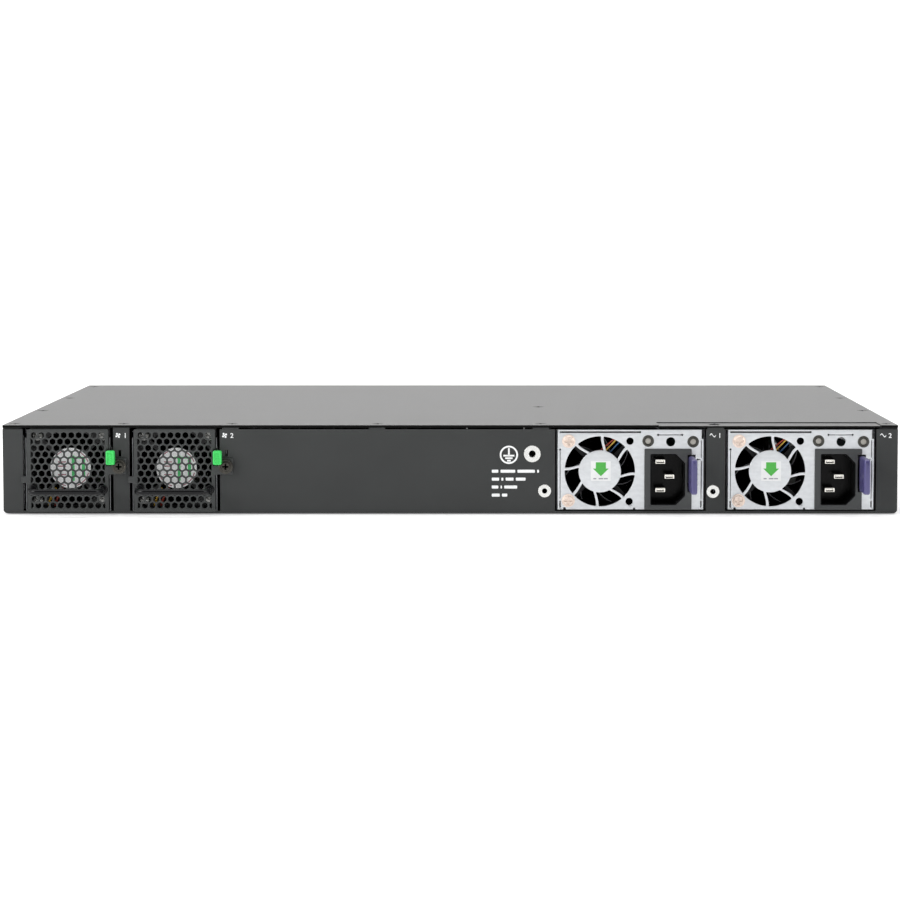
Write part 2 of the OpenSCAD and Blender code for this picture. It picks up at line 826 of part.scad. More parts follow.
// A fan rotor: a cup over the coil, a shaft in the bearing tube and pitched blades
module axial_rotor(x, z, d0, hub_r, tip_r, depth) {
    blades = 7;
    blade_t = 1;
    pitch = 38;
    d1 = d0 + depth - 1.5;
    difference() {
        rod_y(x, z, [d0 + 3.5, d1], hub_r);
        rod_y(x, z, [d0 + 3.5 - cut, d1 - 2], hub_r - 1.2);
    }
    rod_y(x, z, [d0 + 1.3, d1 - 1], fan_pin_r);
    difference() {
        intersection() {
            rod_y(x, z, [d0 + 5, d1 - 1.5], tip_r);
            for (i = [0 : blades - 1])
                translate([x, rear_y + (d0 + 5 + d1 - 1.5) / 2, z])
                    rotate([0, i * 360 / blades, 0])
                        translate([0, 0, hub_r - 0.5])
                            rotate([0, 0, pitch])
                                translate([-blade_t / 2, -depth, 0])
                                    cube([blade_t, 2 * depth, tip_r]);
        }
        rod_y(x, z, [d0, d1 + cut], hub_r - 0.4);
    }
}

module fan_frame(k) {
    color([0.1, 0.1, 0.11])
        axial_frame(fan_mid(k), fan_z, fan_d0, fan_size, 18.6, 10.2, fan_depth, 32, 1.7);
}

module fan_rotor(k) {
    color([0.13, 0.13, 0.14])
        axial_rotor(fan_mid(k), fan_z, fan_d0, 10, 18, fan_depth);
}

// Blind-mate plug on the tray's far end, with the leads from the fan
module fan_plug(k) {
    x = fan_mid(k);
    color([0.9, 0.89, 0.85]) {
        block([x - 8, x + 8], [84, tray_l], [tray_z[0] + tray_t + 0.05, 20]);
        block([x - plug_half, x + plug_half], [tray_l - 1, plug_tip_d], plug_z);
    }
    color([0.75, 0.1, 0.08])
        for (s = [-1, 0, 1])
            bent_bar([[x + s * 2, fan_d0 + fan_depth, 10 + s], [x + s * 2, 50, 12 + s],
                      [x + s * 3, 84.5, 15]], 0.6);
}

// ---- power supplies ----

module psu_case(k) {
    x = psu_mid(k);
    half = psu_w / 2;
    vent_step = 6;
    color([0.74, 0.76, 0.77]) {
        difference() {
            block([x - half, x + half], [face_d[1], psu_l], psu_z);
            block([x - half + case_t, x + half - case_t], [face_d[1] - cut, psu_l - case_t],
                  [psu_z[0] + case_t, psu_z[1] - case_t]);
            block([x - fingers_half - 1, x + fingers_half + 1], [psu_l - 2, psu_l + cut], [8, 12]);
            for (i = [-5 : 5])
                block([x + i * vent_step - 2, x + i * vent_step + 2], [psu_l - 2, psu_l + cut], [16, 36]);
        }
        rod_z(x + lever_x, lever_pivot_d, [psu_z[0] + 0.1, psu_z[1] - 0.1], fan_pin_r);
    }
}

function on_circle(r, a) = r * [cos(a), sin(a)];

// One curved spoke of the finger guard: a piece of a thin ring through two points
module spoke(a) {
    p = on_circle(guard_hub_r - 0.4, a);
    q = on_circle(guard_r + 0.4, a + spoke_lean);
    run = q - p;
    half = norm(run) / 2;
    lift = sqrt(spoke_bend_r * spoke_bend_r - half * half);
    centre = (p + q) / 2 + lift * [run[1], -run[0]] / (2 * half);
    intersection() {
        difference() {
            dot(centre[0], centre[1], spoke_bend_r + spoke_w / 2);
            dot(centre[0], centre[1], spoke_bend_r - spoke_w / 2);
        }
        dot((p[0] + q[0]) / 2, (p[1] + q[1]) / 2, half + 0.2);
    }
}

module psu_face(k) {
    x = psu_mid(k);
    half = psu_w / 2 - 0.3;
    gx = x + guard_xz[0];
    gz = guard_xz[1];
    color([0.8, 0.82, 0.83])
        plate(face_d) {
            difference() {
                rect([x - half, x + half], [psu_z[0] + 0.1, psu_z[1] - 0.1]);
                dot(gx, gz, guard_r);
                rect([x + inlet_x[0] + 0.8, x + inlet_x[1] - 2.7], [psu_z[0] - cut, inlet_z[1] - 0.6]);
                rect([x + lever_slot_x[0], x + lever_slot_x[1]], [lever_z[0] - 0.6, lever_z[1] + 0.6]);
                for (at = face_hole_xz)
                    dot(x + at[0], at[1], 1.8);
                for (at = face_screw_xz)
                    dot(x + at[0], at[1], 1.55);
                for (at = indicator_xz)
                    dot(x + at[0], at[1], 2);
                dot(x + spare_hole_xz[0], spare_hole_xz[1], 2.25);
                for (slot = face_slots)
                    rect([x + slot[0][0], x + slot[0][1]], slot[1]);
            }
            translate([gx, gz]) {
                circle(r = guard_hub_r);
                for (i = [0 : spokes - 1])
                    rotate(i * 360 / spokes)
                        spoke(spoke_start);
            }
        }
}

module psu_fan_frame(k) {
    color([0.09, 0.09, 0.1])
        axial_frame(psu_mid(k) + guard_xz[0], guard_xz[1], psu_fan_d0, psu_fan_size, 17.5, 9.6, psu_fan_depth,
                    30, 2.1);
}

module psu_fan_rotor(k) {
    color([0.11, 0.11, 0.12])
        axial_rotor(psu_mid(k) + guard_xz[0], guard_xz[1], psu_fan_d0, 9.4, 16.9, psu_fan_depth);
}

// Three fan leads: from the hub over the frame's corner, then back to the board
module psu_fan_leads(k) {
    x = psu_mid(k);
    lead_r = 0.35;
    lead_d = 1.3;
    color([0.8, 0.5, 0.1])
        for (i = [0 : 2]) {
            root = lead_root_xz[i];
            rim = lead_rim_xz[i];
            z = 39.8 - i * 0.9;
            side = x + 4.3 + i * 1.1;
            bent_bar([[x + root[0], 3.4, root[1]], [x + rim[0], lead_d, rim[1]],
                      [x - 4.5 + i * 1.1, lead_d, z], [side, lead_d, z], [side, 52, psu_board_z + 2]], lead_r);
        }
}

module mouth_outline(x) {
    polygon([[x + mouth_x[0], mouth_z[0]], [x + mouth_x[1] - mouth_chamfer, mouth_z[0]],
             [x + mouth_x[1], mouth_z[0] + mouth_chamfer], [x + mouth_x[1], mouth_z[1] - mouth_chamfer],
             [x + mouth_x[1] - mouth_chamfer, mouth_z[1]], [x + mouth_x[0], mouth_z[1]]]);
}

module psu_inlet(k) {
    x = psu_mid(k);
    body_x = [inlet_x[0] + 1, inlet_x[1] - 2.9];
    color([0.16, 0.17, 0.18])
        difference() {
            union() {
                plate([face_d[0] - 1.2, face_d[0]])
                    difference() {
                        rect([x + inlet_x[0], x + inlet_x[1]], [inlet_z[0], inlet_z[1]]);
                        rect([x + lever_slot_x[0], x + inlet_x[1] + cut], [lever_z[0] - 0.6, lever_z[1] + 0.6]);
                    }
                block([x + body_x[0], x + body_x[1]], [face_d[0] - 1, inlet_depth], [3.2, 31.5]);
            }
            plate([face_d[0] - 1.2 - cut, mouth_d])
                mouth_outline(x);
        }
}

module psu_inlet_pins(k) {
    x = psu_mid(k);
    blade_w = 4;
    blade_t = 2;
    color([0.8, 0.78, 0.7])
        for (at = blade_xz) {
            block([x + at[0] - blade_w / 2, x + at[0] + blade_w / 2], [5.5, mouth_d],
                  [at[1] - blade_t / 2, at[1] + blade_t / 2]);
            block([x + at[0] - blade_w / 2, x + at[0] + blade_w / 2], [inlet_depth, inlet_depth + 6],
                  [at[1] - 0.4, at[1] + 0.4]);
        }
}

// Release lever: a finger tab, an arm with an eye round its pivot, and a latch tooth
module psu_lever(k) {
    x = psu_mid(k) + lever_x;
    tab_half = 1.5;
    arm_x = [x + 0.1, x + 1.4];
    color([0.3, 0.28, 0.6])
        difference() {
            union() {
                block([x - tab_half, x + tab_half], [-lever_reach, -4], lever_z);
                block(arm_x, [-5, lever_pivot_d], lever_arm_z);
                rod_z(x, lever_pivot_d, lever_arm_z, 3.2);
                block([arm_x[1] - 0.5, x + 5.2], [6, 10], [18, 24]);
            }
            rod_z(x, lever_pivot_d, [lever_z[0], lever_z[1]], fan_pin_r + running);
        }
}

// The supply's circuit board with its edge fingers, transformer, capacitors and heat sinks
module psu_board(k) {
    x = psu_mid(k);
    top = psu_board_z + board_t - 0.1;
    color([0.1, 0.3, 0.15]) {
        block([x - 34, x + 34], [36, psu_l - 3], [psu_board_z, psu_board_z + board_t]);
        block([x - fingers_half, x + fingers_half], [psu_l - 4, 193.6], [psu_board_z, psu_board_z + board_t]);
    }
    color([0.85, 0.75, 0.2])
        block([x - 26, x - 4], [84, 110], [top, 36]);
    color([0.12, 0.12, 0.16])
        for (d = [54, 74])
            rod_y(x + 20, top + 12, [d - 9, d + 9], 12);
    color([0.7, 0.71, 0.73]) {
        block([x + 8, x + 11], [92, 160], [top, 34]);
        block([x - 20, x - 17], [120, 170], [top, 32]);
    }
}

// A cross-head screw in the supply's face
module face_screw(x, z) {
    head_r = 3.25;
    translate([x, rear_y + face_d[0], z])
        rotate([90, 0, 0])
            difference() {
                union() {
                    cylinder(h = 0.7, r = head_r);
                    cylinder(h = 1.5, r1 = head_r - 0.2, r2 = head_r - 1);
                    translate([0, 0, -7])
                        cylinder(h = 7.1, r = 1.2);
                }
                translate([0, 0, 1.5])
                    cross_recess(head_r, 1.1);
            }
}

module psu_screws(k) {
    color([0.85, 0.72, 0.6])
        for (at = face_screw_xz)
            face_screw(psu_mid(k) + at[0], at[1]);
}

// Two round indicator windows in dark collars
module psu_indicators(k) {
    color([0.25, 0.25, 0.25])
        for (at = indicator_xz) {
            rod_y(psu_mid(k) + at[0], at[1], [face_d[0] - 0.5, face_d[0]], 2.85);
            rod_y(psu_mid(k) + at[0], at[1], [face_d[0] - 0.8, 6], 1.25);
        }
}

chassis_tray();
rear_panel();
top_cover();
rear_top_strip();
front_bezel();
front_grille();
cover_screws();
panel_inserts();
bay_walls();
main_board();
board_standoffs();
board_screws();
rj45_blocks();
rj45_contacts();
sfp_cages();
management_ports();
light_pipes();
board_chips();
heatsink();
power_board();
module_sockets();
reset_button();
fan_face(0);  // fan1_face
fan_tray(0);  // fan1_tray
fan_handle(0);  // fan1_handle
fan_latch(0);  // fan1_latch
fan_screw(0);  // fan1_screw
fan_frame(0);  // fan1_frame
fan_rotor(0);  // fan1_rotor
fan_plug(0);  // fan1_plug
fan_face(1);  // fan2_face
fan_tray(1);  // fan2_tray
fan_handle(1);  // fan2_handle
fan_latch(1);  // fan2_latch
fan_screw(1);  // fan2_screw
fan_frame(1);  // fan2_frame
fan_rotor(1);  // fan2_rotor
fan_plug(1);  // fan2_plug
psu_case(0);  // psu1_case
psu_face(0);  // psu1_face
psu_fan_frame(0);  // psu1_fan_frame
psu_fan_rotor(0);  // psu1_fan_rotor
psu_fan_leads(0);  // psu1_fan_leads
psu_inlet(0);  // psu1_inlet
psu_inlet_pins(0);  // psu1_inlet_pins
psu_lever(0);  // psu1_lever
psu_board(0);  // psu1_board
psu_screws(0);  // psu1_screws
psu_indicators(0);  // psu1_indicators
psu_case(1);  // psu2_case
psu_face(1);  // psu2_face
psu_fan_frame(1);  // psu2_fan_frame
psu_fan_rotor(1);  // psu2_fan_rotor
psu_fan_leads(1);  // psu2_fan_leads
psu_inlet(1);  // psu2_inlet
psu_inlet_pins(1);  // psu2_inlet_pins
psu_lever(1);  // psu2_lever
psu_board(1);  // psu2_board
psu_screws(1);  // psu2_screws
psu_indicators(1);  // psu2_indicators
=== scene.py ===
"""The looks of a rackmount network switch, seen from its rear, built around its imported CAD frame.

Sizes in this file are in millimetres and are turned into metres where a mesh is made. A depth is
measured from the outer face of the rear wall towards the front ports, and X and Z are the frame's own.
"""
import json
import math

import bmesh
import bpy
from mathutils import Matrix, Vector


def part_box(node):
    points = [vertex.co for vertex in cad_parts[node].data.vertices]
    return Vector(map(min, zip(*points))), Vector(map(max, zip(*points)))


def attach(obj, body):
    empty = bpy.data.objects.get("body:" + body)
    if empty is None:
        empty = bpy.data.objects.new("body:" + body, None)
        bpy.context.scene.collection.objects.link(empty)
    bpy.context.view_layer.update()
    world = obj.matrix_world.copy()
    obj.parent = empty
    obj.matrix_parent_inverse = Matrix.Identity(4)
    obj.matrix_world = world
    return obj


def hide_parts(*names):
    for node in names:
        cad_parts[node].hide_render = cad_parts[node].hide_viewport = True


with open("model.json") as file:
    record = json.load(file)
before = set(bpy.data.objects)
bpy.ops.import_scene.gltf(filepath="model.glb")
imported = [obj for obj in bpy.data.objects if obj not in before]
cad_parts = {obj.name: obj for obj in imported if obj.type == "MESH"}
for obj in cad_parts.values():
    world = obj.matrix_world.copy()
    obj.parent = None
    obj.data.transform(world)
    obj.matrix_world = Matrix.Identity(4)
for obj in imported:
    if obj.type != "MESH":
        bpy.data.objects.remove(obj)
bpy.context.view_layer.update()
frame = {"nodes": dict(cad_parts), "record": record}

MM = 0.001
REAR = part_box("rear_panel")[0].y
BODY_DEPTH = (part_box("front_bezel")[1].y - REAR) / MM
MODULES = (1, 2)


def middle_x(node):
    """Where the middle of a CAD node is along X, in millimetres."""
    low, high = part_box(node)
    return (low.x + high.x) / 2 / MM


def depth_of(node, corner):
    """How deep a CAD node's near (0) or far (1) end lies, in millimetres."""
    return (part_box(node)[corner].y - REAR) / MM


# ---- outlines: lists of (u, v) points, in millimetres ----

def arc(u, v, radius, start, end, steps):
    """Points along an arc, with its angles in degrees."""
    turns = [math.radians(start + (end - start) * i / steps) for i in range(steps + 1)]
    return [(u + radius * math.cos(t), v + radius * math.sin(t)) for t in turns]


def circle(u, v, radius, steps=40):
    return arc(u, v, radius, 0, 360 * (steps - 1) / steps, steps - 1)


def rectangle(u0, u1, v0, v1):
    return [(u0, v0), (u1, v0), (u1, v1), (u0, v1)]


def rounded(outline, radius, steps=4):
    """The outline with each corner turned into an arc."""
    points = [Vector(p) for p in outline]
    made = []
    for i, corner in enumerate(points):
        before = points[i - 1] - corner
        after = points[(i + 1) % len(points)] - corner
        angle = before.angle(after)
        if angle > math.radians(155):
            made.append(tuple(corner))
            continue
        reach = min(radius / math.tan(angle / 2), 0.45 * before.length, 0.45 * after.length)
        a = corner + before.normalized() * reach
        b = corner + after.normalized() * reach
        for k in range(steps + 1):
            t = k / steps
            made.append(tuple(a * (1 - t) ** 2 + corner * 2 * t * (1 - t) + b * t * t))
    return made


def round_box(u0, u1, v0, v1, radius=0.5, steps=4):
    return rounded(rectangle(u0, u1, v0, v1), radius, steps)


def area(outline):
    pairs = zip(outline, outline[1:] + outline[:1])
    return sum(a[0] * b[1] - b[0] * a[1] for a, b in pairs) / 2


def turned_left(outline, solid):
    """The outline as vectors, ordered so that the material lies on its left."""
    forward = (area(outline) > 0) == solid
    return [Vector(p) for p in (outline if forward else reversed(outline))]


def inset(points, distance):
    """The outline moved into the material on its left."""
    moved = []
    for i, p in enumerate(points):
        a = (p - points[i - 1]).normalized()
        b = (points[(i + 1) % len(points)] - p).normalized()
        side = Vector((-a.y - b.y, a.x + b.x)).normalized()
        stretch = 1 / max(0.5, side.dot(Vector((-a.y, a.x))))
        moved.append(p + side * distance * stretch)
    return moved


# ---- forms ----

def facing_rear(u, v, w):
    """A point of an outline in X and Z, at depth w."""
    return Vector((u * MM, REAR + w * MM, v * MM))


def facing_up(u, v, w):
    """A point of an outline in X and depth, at height w."""
    return Vector((u * MM, REAR + v * MM, w * MM))


def facing_side(u, v, w):
    """A point of an outline in depth and Z, at w along X."""
    return Vector((w * MM, REAR + u * MM, v * MM))


class Form:
    """A mesh built up from plates, blocks, turned parts and rods."""

    def __init__(self):
        self.bm = bmesh.new()

    def plate(self, outer, span, holes=(), bevel=0.12, place=facing_rear):
        """A flat outline with holes, from one level to another, with rounded edges."""
        loops = [turned_left(outer, True)] + [turned_left(hole, False) for hole in holes]
        steps = 5 if bevel > 0.4 else 2
        angles = [math.pi / 2 * i / steps for i in range(steps + 1)] if bevel else [math.pi / 2]
        levels = [(bevel * (1 - math.sin(t)), span[0] + bevel * (1 - math.cos(t))) for t in angles]
        levels += [(shrink, span[0] + span[1] - level) for shrink, level in reversed(levels)]
        ends = [[], []]
        for loop in loops:
            rings = []
            for shrink, level in levels:
                rings.append([self.bm.verts.new(place(p.x, p.y, level)) for p in inset(loop, shrink)])
            self.skin(rings)
            for end, ring in zip(ends, (rings[0], rings[-1])):
                end += [self.bm.edges.get((ring[i - 1], ring[i])) for i in range(len(ring))]
        for end in ends:
            bmesh.ops.triangle_fill(self.bm, use_beauty=True, edges=end)
        return self

    def skin(self, rings):
        """Faces between closed rings of vertices that have the same number of points."""
        for lower, upper in zip(rings, rings[1:]):
            for i in range(len(lower)):
                self.bm.faces.new((lower[i - 1], lower[i], upper[i], upper[i - 1]))

    def block(self, x, depth, z, bevel=0.12):
        """A box given by its ends along X, depth and Z, with rounded edges."""
        low, high = facing_rear(x[0], z[0], depth[0]), facing_rear(x[1], z[1], depth[1])
        made = bmesh.ops.create_cube(self.bm)["verts"]
        for v in made:
            v.co = Vector(high[i] if v.co[i] > 0 else low[i] for i in range(3))
        edges = {e for v in made for e in v.link_edges}
        bmesh.ops.bevel(self.bm, geom=list(edges), offset=bevel * MM, segments=2, profile=0.5,
                        affect="EDGES")
        return self

    def turned(self, at, profile, steps=32, place=facing_rear):
        """A turned part about a line through at. The profile gives (radius, level) from end to end."""
        rings = []
        for radius, level in profile:
            ring = circle(at[0], at[1], max(radius, 0.001), steps)
            rings.append([self.bm.verts.new(place(u, v, level)) for u, v in ring])
        self.skin(rings)
        for ring in (rings[0], rings[-1]):
            self.bm.faces.new(ring)
        return self

    def rod(self, points, radius, sides=12, flatten=1.0):
        """A rod through points given as (x, depth, z)."""
        line = [facing_rear(x, z, depth) for x, depth, z in points]
        across, rings = None, []
        for i, p in enumerate(line):
            ahead = (line[min(i + 1, len(line) - 1)] - line[max(i - 1, 0)]).normalized()
            if across is None:
                across = ahead.orthogonal().normalized()
            across = (across - ahead * across.dot(ahead)).normalized()
            up = ahead.cross(across)
            turns = [2 * math.pi * k / sides for k in range(sides)]
            rings.append([self.bm.verts.new(p + (across * math.cos(t) + up * flatten * math.sin(t))
                                            * radius * MM) for t in turns])
        self.skin(rings)
        for ring in (rings[0], rings[-1]):
            self.bm.faces.new(ring)
        return self

    def lettering(self, text, x, z, height, depth, thickness=0.04, mirrored=False):
        """A numeral standing on a face that looks rearwards, or frontwards when mirrored."""
        curve = bpy.data.curves.new("numeral", "FONT")
        curve.body = text
        curve.size = height / 0.7 * MM
        curve.extrude = thickness / 2 * MM
        curve.offset = 0.02 * height * MM
        curve.align_x = "CENTER"
        mesh = bpy.data.meshes.new_from_object(bpy.data.objects.new("numeral", curve))
        turn = Matrix.Rotation(math.pi, 4, "Z") if mirrored else Matrix.Identity(4)
        mesh.transform(Matrix.Translation(facing_rear(x, z, depth)) @ turn
                       @ Matrix.Rotation(math.pi / 2, 4, "X"))
        self.bm.from_mesh(mesh)
        bpy.data.meshes.remove(mesh)
        return self

    def done(self, name, body, slot, material, replaces=()):
        """Turns the form into a piece that rides on a body."""
        bmesh.ops.recalc_face_normals(self.bm, faces=self.bm.faces)
        mesh = bpy.data.meshes.new(name)
        self.bm.to_mesh(mesh)
        self.bm.free()
        mesh.shade_smooth()
        mesh.set_sharp_from_angle(angle=math.radians(50))
        mesh.materials.append(material)
        piece = bpy.data.objects.new(name, mesh)
        bpy.context.scene.collection.objects.link(piece)
        piece.modifiers.new("normals", "WEIGHTED_NORMAL").keep_sharp = True
        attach(piece, body)
        if replaces:
            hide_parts(*replaces)
        return piece


# ---- materials ----

def finish(name, colour, rough, metal=0.0, mottle=0.08, mottle_size=30.0, grain=0.2, grain_size=0.5,
           rough_change=0.06, stretch=(1, 1, 1), specular=0.5, coat=0.0, clear=0.0, glow=0.0):
    """A procedural finish: colour mottled at one scale, with a grain in the bump and the roughness."""
    material = bpy.data.materials.new(name)
    material.use_nodes = True
    nodes, links = material.node_tree.nodes, material.node_tree.links
    shader = nodes["Principled BSDF"]
    shader.inputs["Metallic"].default_value = metal
    shader.inputs["Specular IOR Level"].default_value = specular
    shader.inputs["Coat Weight"].default_value = coat
    shader.inputs["Coat Roughness"].default_value = 0.15
    shader.inputs["Transmission Weight"].default_value = clear
    # Emission, where glow is above zero, is painted light on a part that is no lamp.
    shader.inputs["Emission Color"].default_value = (*colour, 1)
    shader.inputs["Emission Strength"].default_value = glow
    where = nodes.new("ShaderNodeTexCoord")
    scaled = nodes.new("ShaderNodeMapping")
    scaled.inputs["Scale"].default_value = stretch
    links.new(where.outputs["Object"], scaled.inputs["Vector"])
    cloud = noise(nodes, links, scaled, 1 / (mottle_size * MM), 4)
    fine = noise(nodes, links, scaled, 1 / (grain_size * MM), 3)
    tint = nodes.new("ShaderNodeValToRGB")
    tint.color_ramp.elements[0].position, tint.color_ramp.elements[1].position = 0.3, 0.7
    tint.color_ramp.elements[0].color = (*[c * (1 - mottle) for c in colour], 1)
    tint.color_ramp.elements[1].color = (*[min(1, c * (1 + mottle)) for c in colour], 1)
    links.new(cloud.outputs["Fac"], tint.inputs["Fac"])
    links.new(tint.outputs["Color"], shader.inputs["Base Color"])
    spread = nodes.new("ShaderNodeMapRange")
    spread.inputs["To Min"].default_value = max(0.02, rough - rough_change)
    spread.inputs["To Max"].default_value = min(1, rough + rough_change)
    links.new(fine.outputs["Fac"], spread.inputs["Value"])
    links.new(spread.outputs["Result"], shader.inputs["Roughness"])
    bump = nodes.new("ShaderNodeBump")
    bump.inputs["Strength"].default_value = grain
    bump.inputs["Distance"].default_value = grain_size * 0.1 * MM
    links.new(fine.outputs["Fac"], bump.inputs["Height"])
    links.new(bump.outputs["Normal"], shader.inputs["Normal"])
    return material


def with_cut_edges(material, shade):
    """Paints shade on a sheet's faces that look rearwards: darkens their colour and specular, so rims and
    gaps read dark.
    """
    nodes, links = material.node_tree.nodes, material.node_tree.links
    colour = nodes["Principled BSDF"].inputs["Base Color"]
    axes = nodes.new("ShaderNodeSeparateXYZ")
    links.new(nodes.new("ShaderNodeNewGeometry").outputs["Normal"], axes.inputs["Vector"])
    edge = nodes.new("ShaderNodeMapRange")
    edge.inputs["From Min"].default_value, edge.inputs["From Max"].default_value = -0.9, -0.5
    edge.inputs["To Min"].default_value, edge.inputs["To Max"].default_value = shade, 1
    links.new(axes.outputs["Y"], edge.inputs["Value"])
    darker = nodes.new("ShaderNodeVectorMath")
    darker.operation = "SCALE"
    links.new(colour.links[0].from_socket, darker.inputs["Vector"])
    links.new(edge.outputs["Result"], darker.inputs["Scale"])
    links.new(darker.outputs["Vector"], colour)
    gloss = nodes.new("ShaderNodeMath")
    gloss.operation = "MULTIPLY"
    gloss.inputs[1].default_value = nodes["Principled BSDF"].inputs["Specular IOR Level"].default_value
    links.new(edge.outputs["Result"], gloss.inputs[0])
    links.new(gloss.outputs["Value"], nodes["Principled BSDF"].inputs["Specular IOR Level"])
    return material


def noise(nodes, links, vector, scale, detail):
    texture = nodes.new("ShaderNodeTexNoise")
    texture.inputs["Scale"].default_value = scale
    texture.inputs["Detail"].default_value = detail
    links.new(vector.outputs["Vector"], texture.inputs["Vector"])
    return texture


def grey(level):
    return (level, level, level)


PAINT = finish("charcoal_powder_coat", (0.038, 0.040, 0.040), 0.5, mottle=0.06, grain=0.35, grain_size=0.45,
               specular=0.3)
# Painted shade on the cover's rearward faces, which darkens its rear edge.
COVER_PAINT = with_cut_edges(finish("cover_powder_coat", (0.046, 0.045, 0.044), 0.37, mottle=0.05,
                                    grain=0.25, grain_size=0.45, specular=0.5), 0.12)
GRILLE_PAINT = finish("grille_powder_coat", (0.042, 0.045, 0.045), 0.42, grain=0.3, grain_size=0.35,
                      specular=0.4)
BEZEL_PAINT = finish("bezel_paint", (0.022, 0.023, 0.025), 0.42, grain=0.25)
BLACK_SCREW = finish("black_oxide", (0.02, 0.02, 0.021), 0.36, metal=0.6, grain=0.2, grain_size=0.2)
ZINC = finish("zinc_plate", (0.69, 0.71, 0.73), 0.32, metal=0.75, mottle=0.06, mottle_size=3.5, grain=0.25,
              grain_size=0.25, stretch=(1, 1, 2.2))
# Painted shade on the case's rearward faces: it darkens the rim round each supply, so the gap round the face
# plate reads wider and darker.
CASE_ZINC = with_cut_edges(finish("zinc_case", (0.66, 0.68, 0.70), 0.34, metal=0.8, mottle=0.08,
                                  mottle_size=5, grain=0.25, grain_size=0.3, stretch=(1, 0.4, 1)), 0.04)
# Near-black zinc for the galvanised fan trays: painted shade, so each tray reads as dark as the gap round its
# fan plate.
TRAY_SHADE_ZINC = finish("tray_zinc_painted_shade", (0.17, 0.175, 0.18), 0.36, metal=0.9, mottle=0.12, mottle_size=5,
                   grain=0.2, grain_size=0.5)
GALVANISED = finish("galvanised_sheet", (0.50, 0.52, 0.54), 0.38, metal=0.9, mottle=0.16, mottle_size=6,
                    grain=0.2, grain_size=0.8)
BRIGHT_STEEL = finish("bright_steel", (0.72, 0.72, 0.70), 0.22, metal=0.9, mottle=0.05, mottle_size=3,
                      grain=0.15, grain_size=0.15)
PORT_STEEL = finish("port_shield", (0.62, 0.63, 0.64), 0.28, metal=1.0, mottle=0.05, mottle_size=8,
                    grain=0.15, grain_size=0.3, stretch=(3, 1, 1))
BOARD_GREEN = finish("solder_mask", (0.012, 0.085, 0.04), 0.35, mottle=0.12, mottle_size=4, grain=0.2,
                     coat=0.4)
BRASS = finish("nickel_brass", (0.72, 0.56, 0.30), 0.3, metal=1.0, grain=0.15, grain_size=0.2)
GOLD = finish("contact_gold", (0.90, 0.66, 0.26), 0.2, metal=1.0, grain=0.1, grain_size=0.1)
CLEAR = finish("clear_light_pipe", (0.80, 0.86, 0.82), 0.12, mottle=0.03, grain=0.05, clear=0.6)
CHIP = finish("moulded_epoxy", (0.018, 0.018, 0.02), 0.55, grain=0.3, grain_size=0.3)
ALUMINIUM = finish("extruded_aluminium", (0.62, 0.63, 0.65), 0.35, metal=1.0, grain=0.3, grain_size=0.3,
                   stretch=(1, 0.1, 1))
BLACK_PLASTIC = finish("black_plastic", (0.012, 0.012, 0.013), 0.36, mottle=0.1, grain=0.2, grain_size=0.3)
DARK_PLASTIC = finish("dark_plastic", (0.005, 0.005, 0.006), 0.5, mottle=0.1, grain=0.2, grain_size=0.3,
                      specular=0.2)
# Light grey for rods along the blades' near edges: a painted highlight.
BLADE_HIGHLIGHT_GREY = finish("blade_edge_painted_highlight", (0.16, 0.16, 0.17), 0.3, mottle=0.1, mottle_size=2, grain=0.1,
                      grain_size=0.3)
BLADE_PLASTIC = finish("fan_blade_plastic", (0.012, 0.012, 0.014), 0.2, mottle=0.1, grain=0.1,
                       grain_size=0.3, coat=0.3)
HANDLE_BLACK = finish("satin_black_steel", (0.005, 0.005, 0.006), 0.24, mottle=0.1, grain=0.12,
                      grain_size=0.6, specular=0.22)
# The latch's green glows a little: painted light on a part that is no lamp.
GREEN = finish("green_latch", (0.045, 0.60, 0.115), 0.35, mottle=0.06, mottle_size=3, grain=0.2,
               grain_size=0.3, glow=0.08)
SCREW_STEEL = finish("captive_screw_steel", (0.060, 0.056, 0.048), 0.28, metal=0.8, mottle=0.2,
                     mottle_size=1.5, grain=0.2, grain_size=0.2)
DULL_STEEL = finish("fan_fixing_steel", (0.26, 0.26, 0.25), 0.2, metal=0.95, mottle=0.1, mottle_size=1.5,
                    grain=0.15, grain_size=0.2)
WHITE_PLASTIC = finish("white_nylon", (0.74, 0.72, 0.66), 0.45, grain=0.2)
PURPLE = finish("purple_lever", (0.066, 0.058, 0.180), 0.3, mottle=0.12, mottle_size=2.5, grain=0.2,
                grain_size=0.4, stretch=(2, 1, 0.2), coat=0.3)
ROSE_BRASS = finish("rose_zinc_screw", (0.87, 0.73, 0.64), 0.3, metal=0.55, mottle=0.1, mottle_size=1.2,
                    grain=0.15, grain_size=0.15)
COLLAR = finish("dark_collar", (0.050, 0.049, 0.042), 0.3, metal=0.4, mottle=0.1, mottle_size=1.5)
LENS = finish("indicator_lens", (0.42, 0.40, 0.36), 0.25, mottle=0.08, mottle_size=1.0, grain=0.1,
              grain_size=0.2, clear=0.15)
INLET = finish("inlet_plastic", (0.045, 0.048, 0.049), 0.4, mottle=0.06, grain=0.3, grain_size=0.3)
# Near-black, low-specular plastic for the inlet's well: painted shade in the recess.
INLET_WELL_SHADE = finish("inlet_cavity_painted_shade", (0.0025, 0.0025, 0.003), 0.22, mottle=0.1, grain=0.12, grain_size=0.3,
                      specular=0.12)
NICKEL = finish("nickel_blade", (0.86, 0.84, 0.78), 0.16, metal=1.0, mottle=0.04, mottle_size=2,
                grain=0.1, grain_size=0.2)
BUTTON = finish("button_plastic", (0.22, 0.22, 0.23), 0.4)
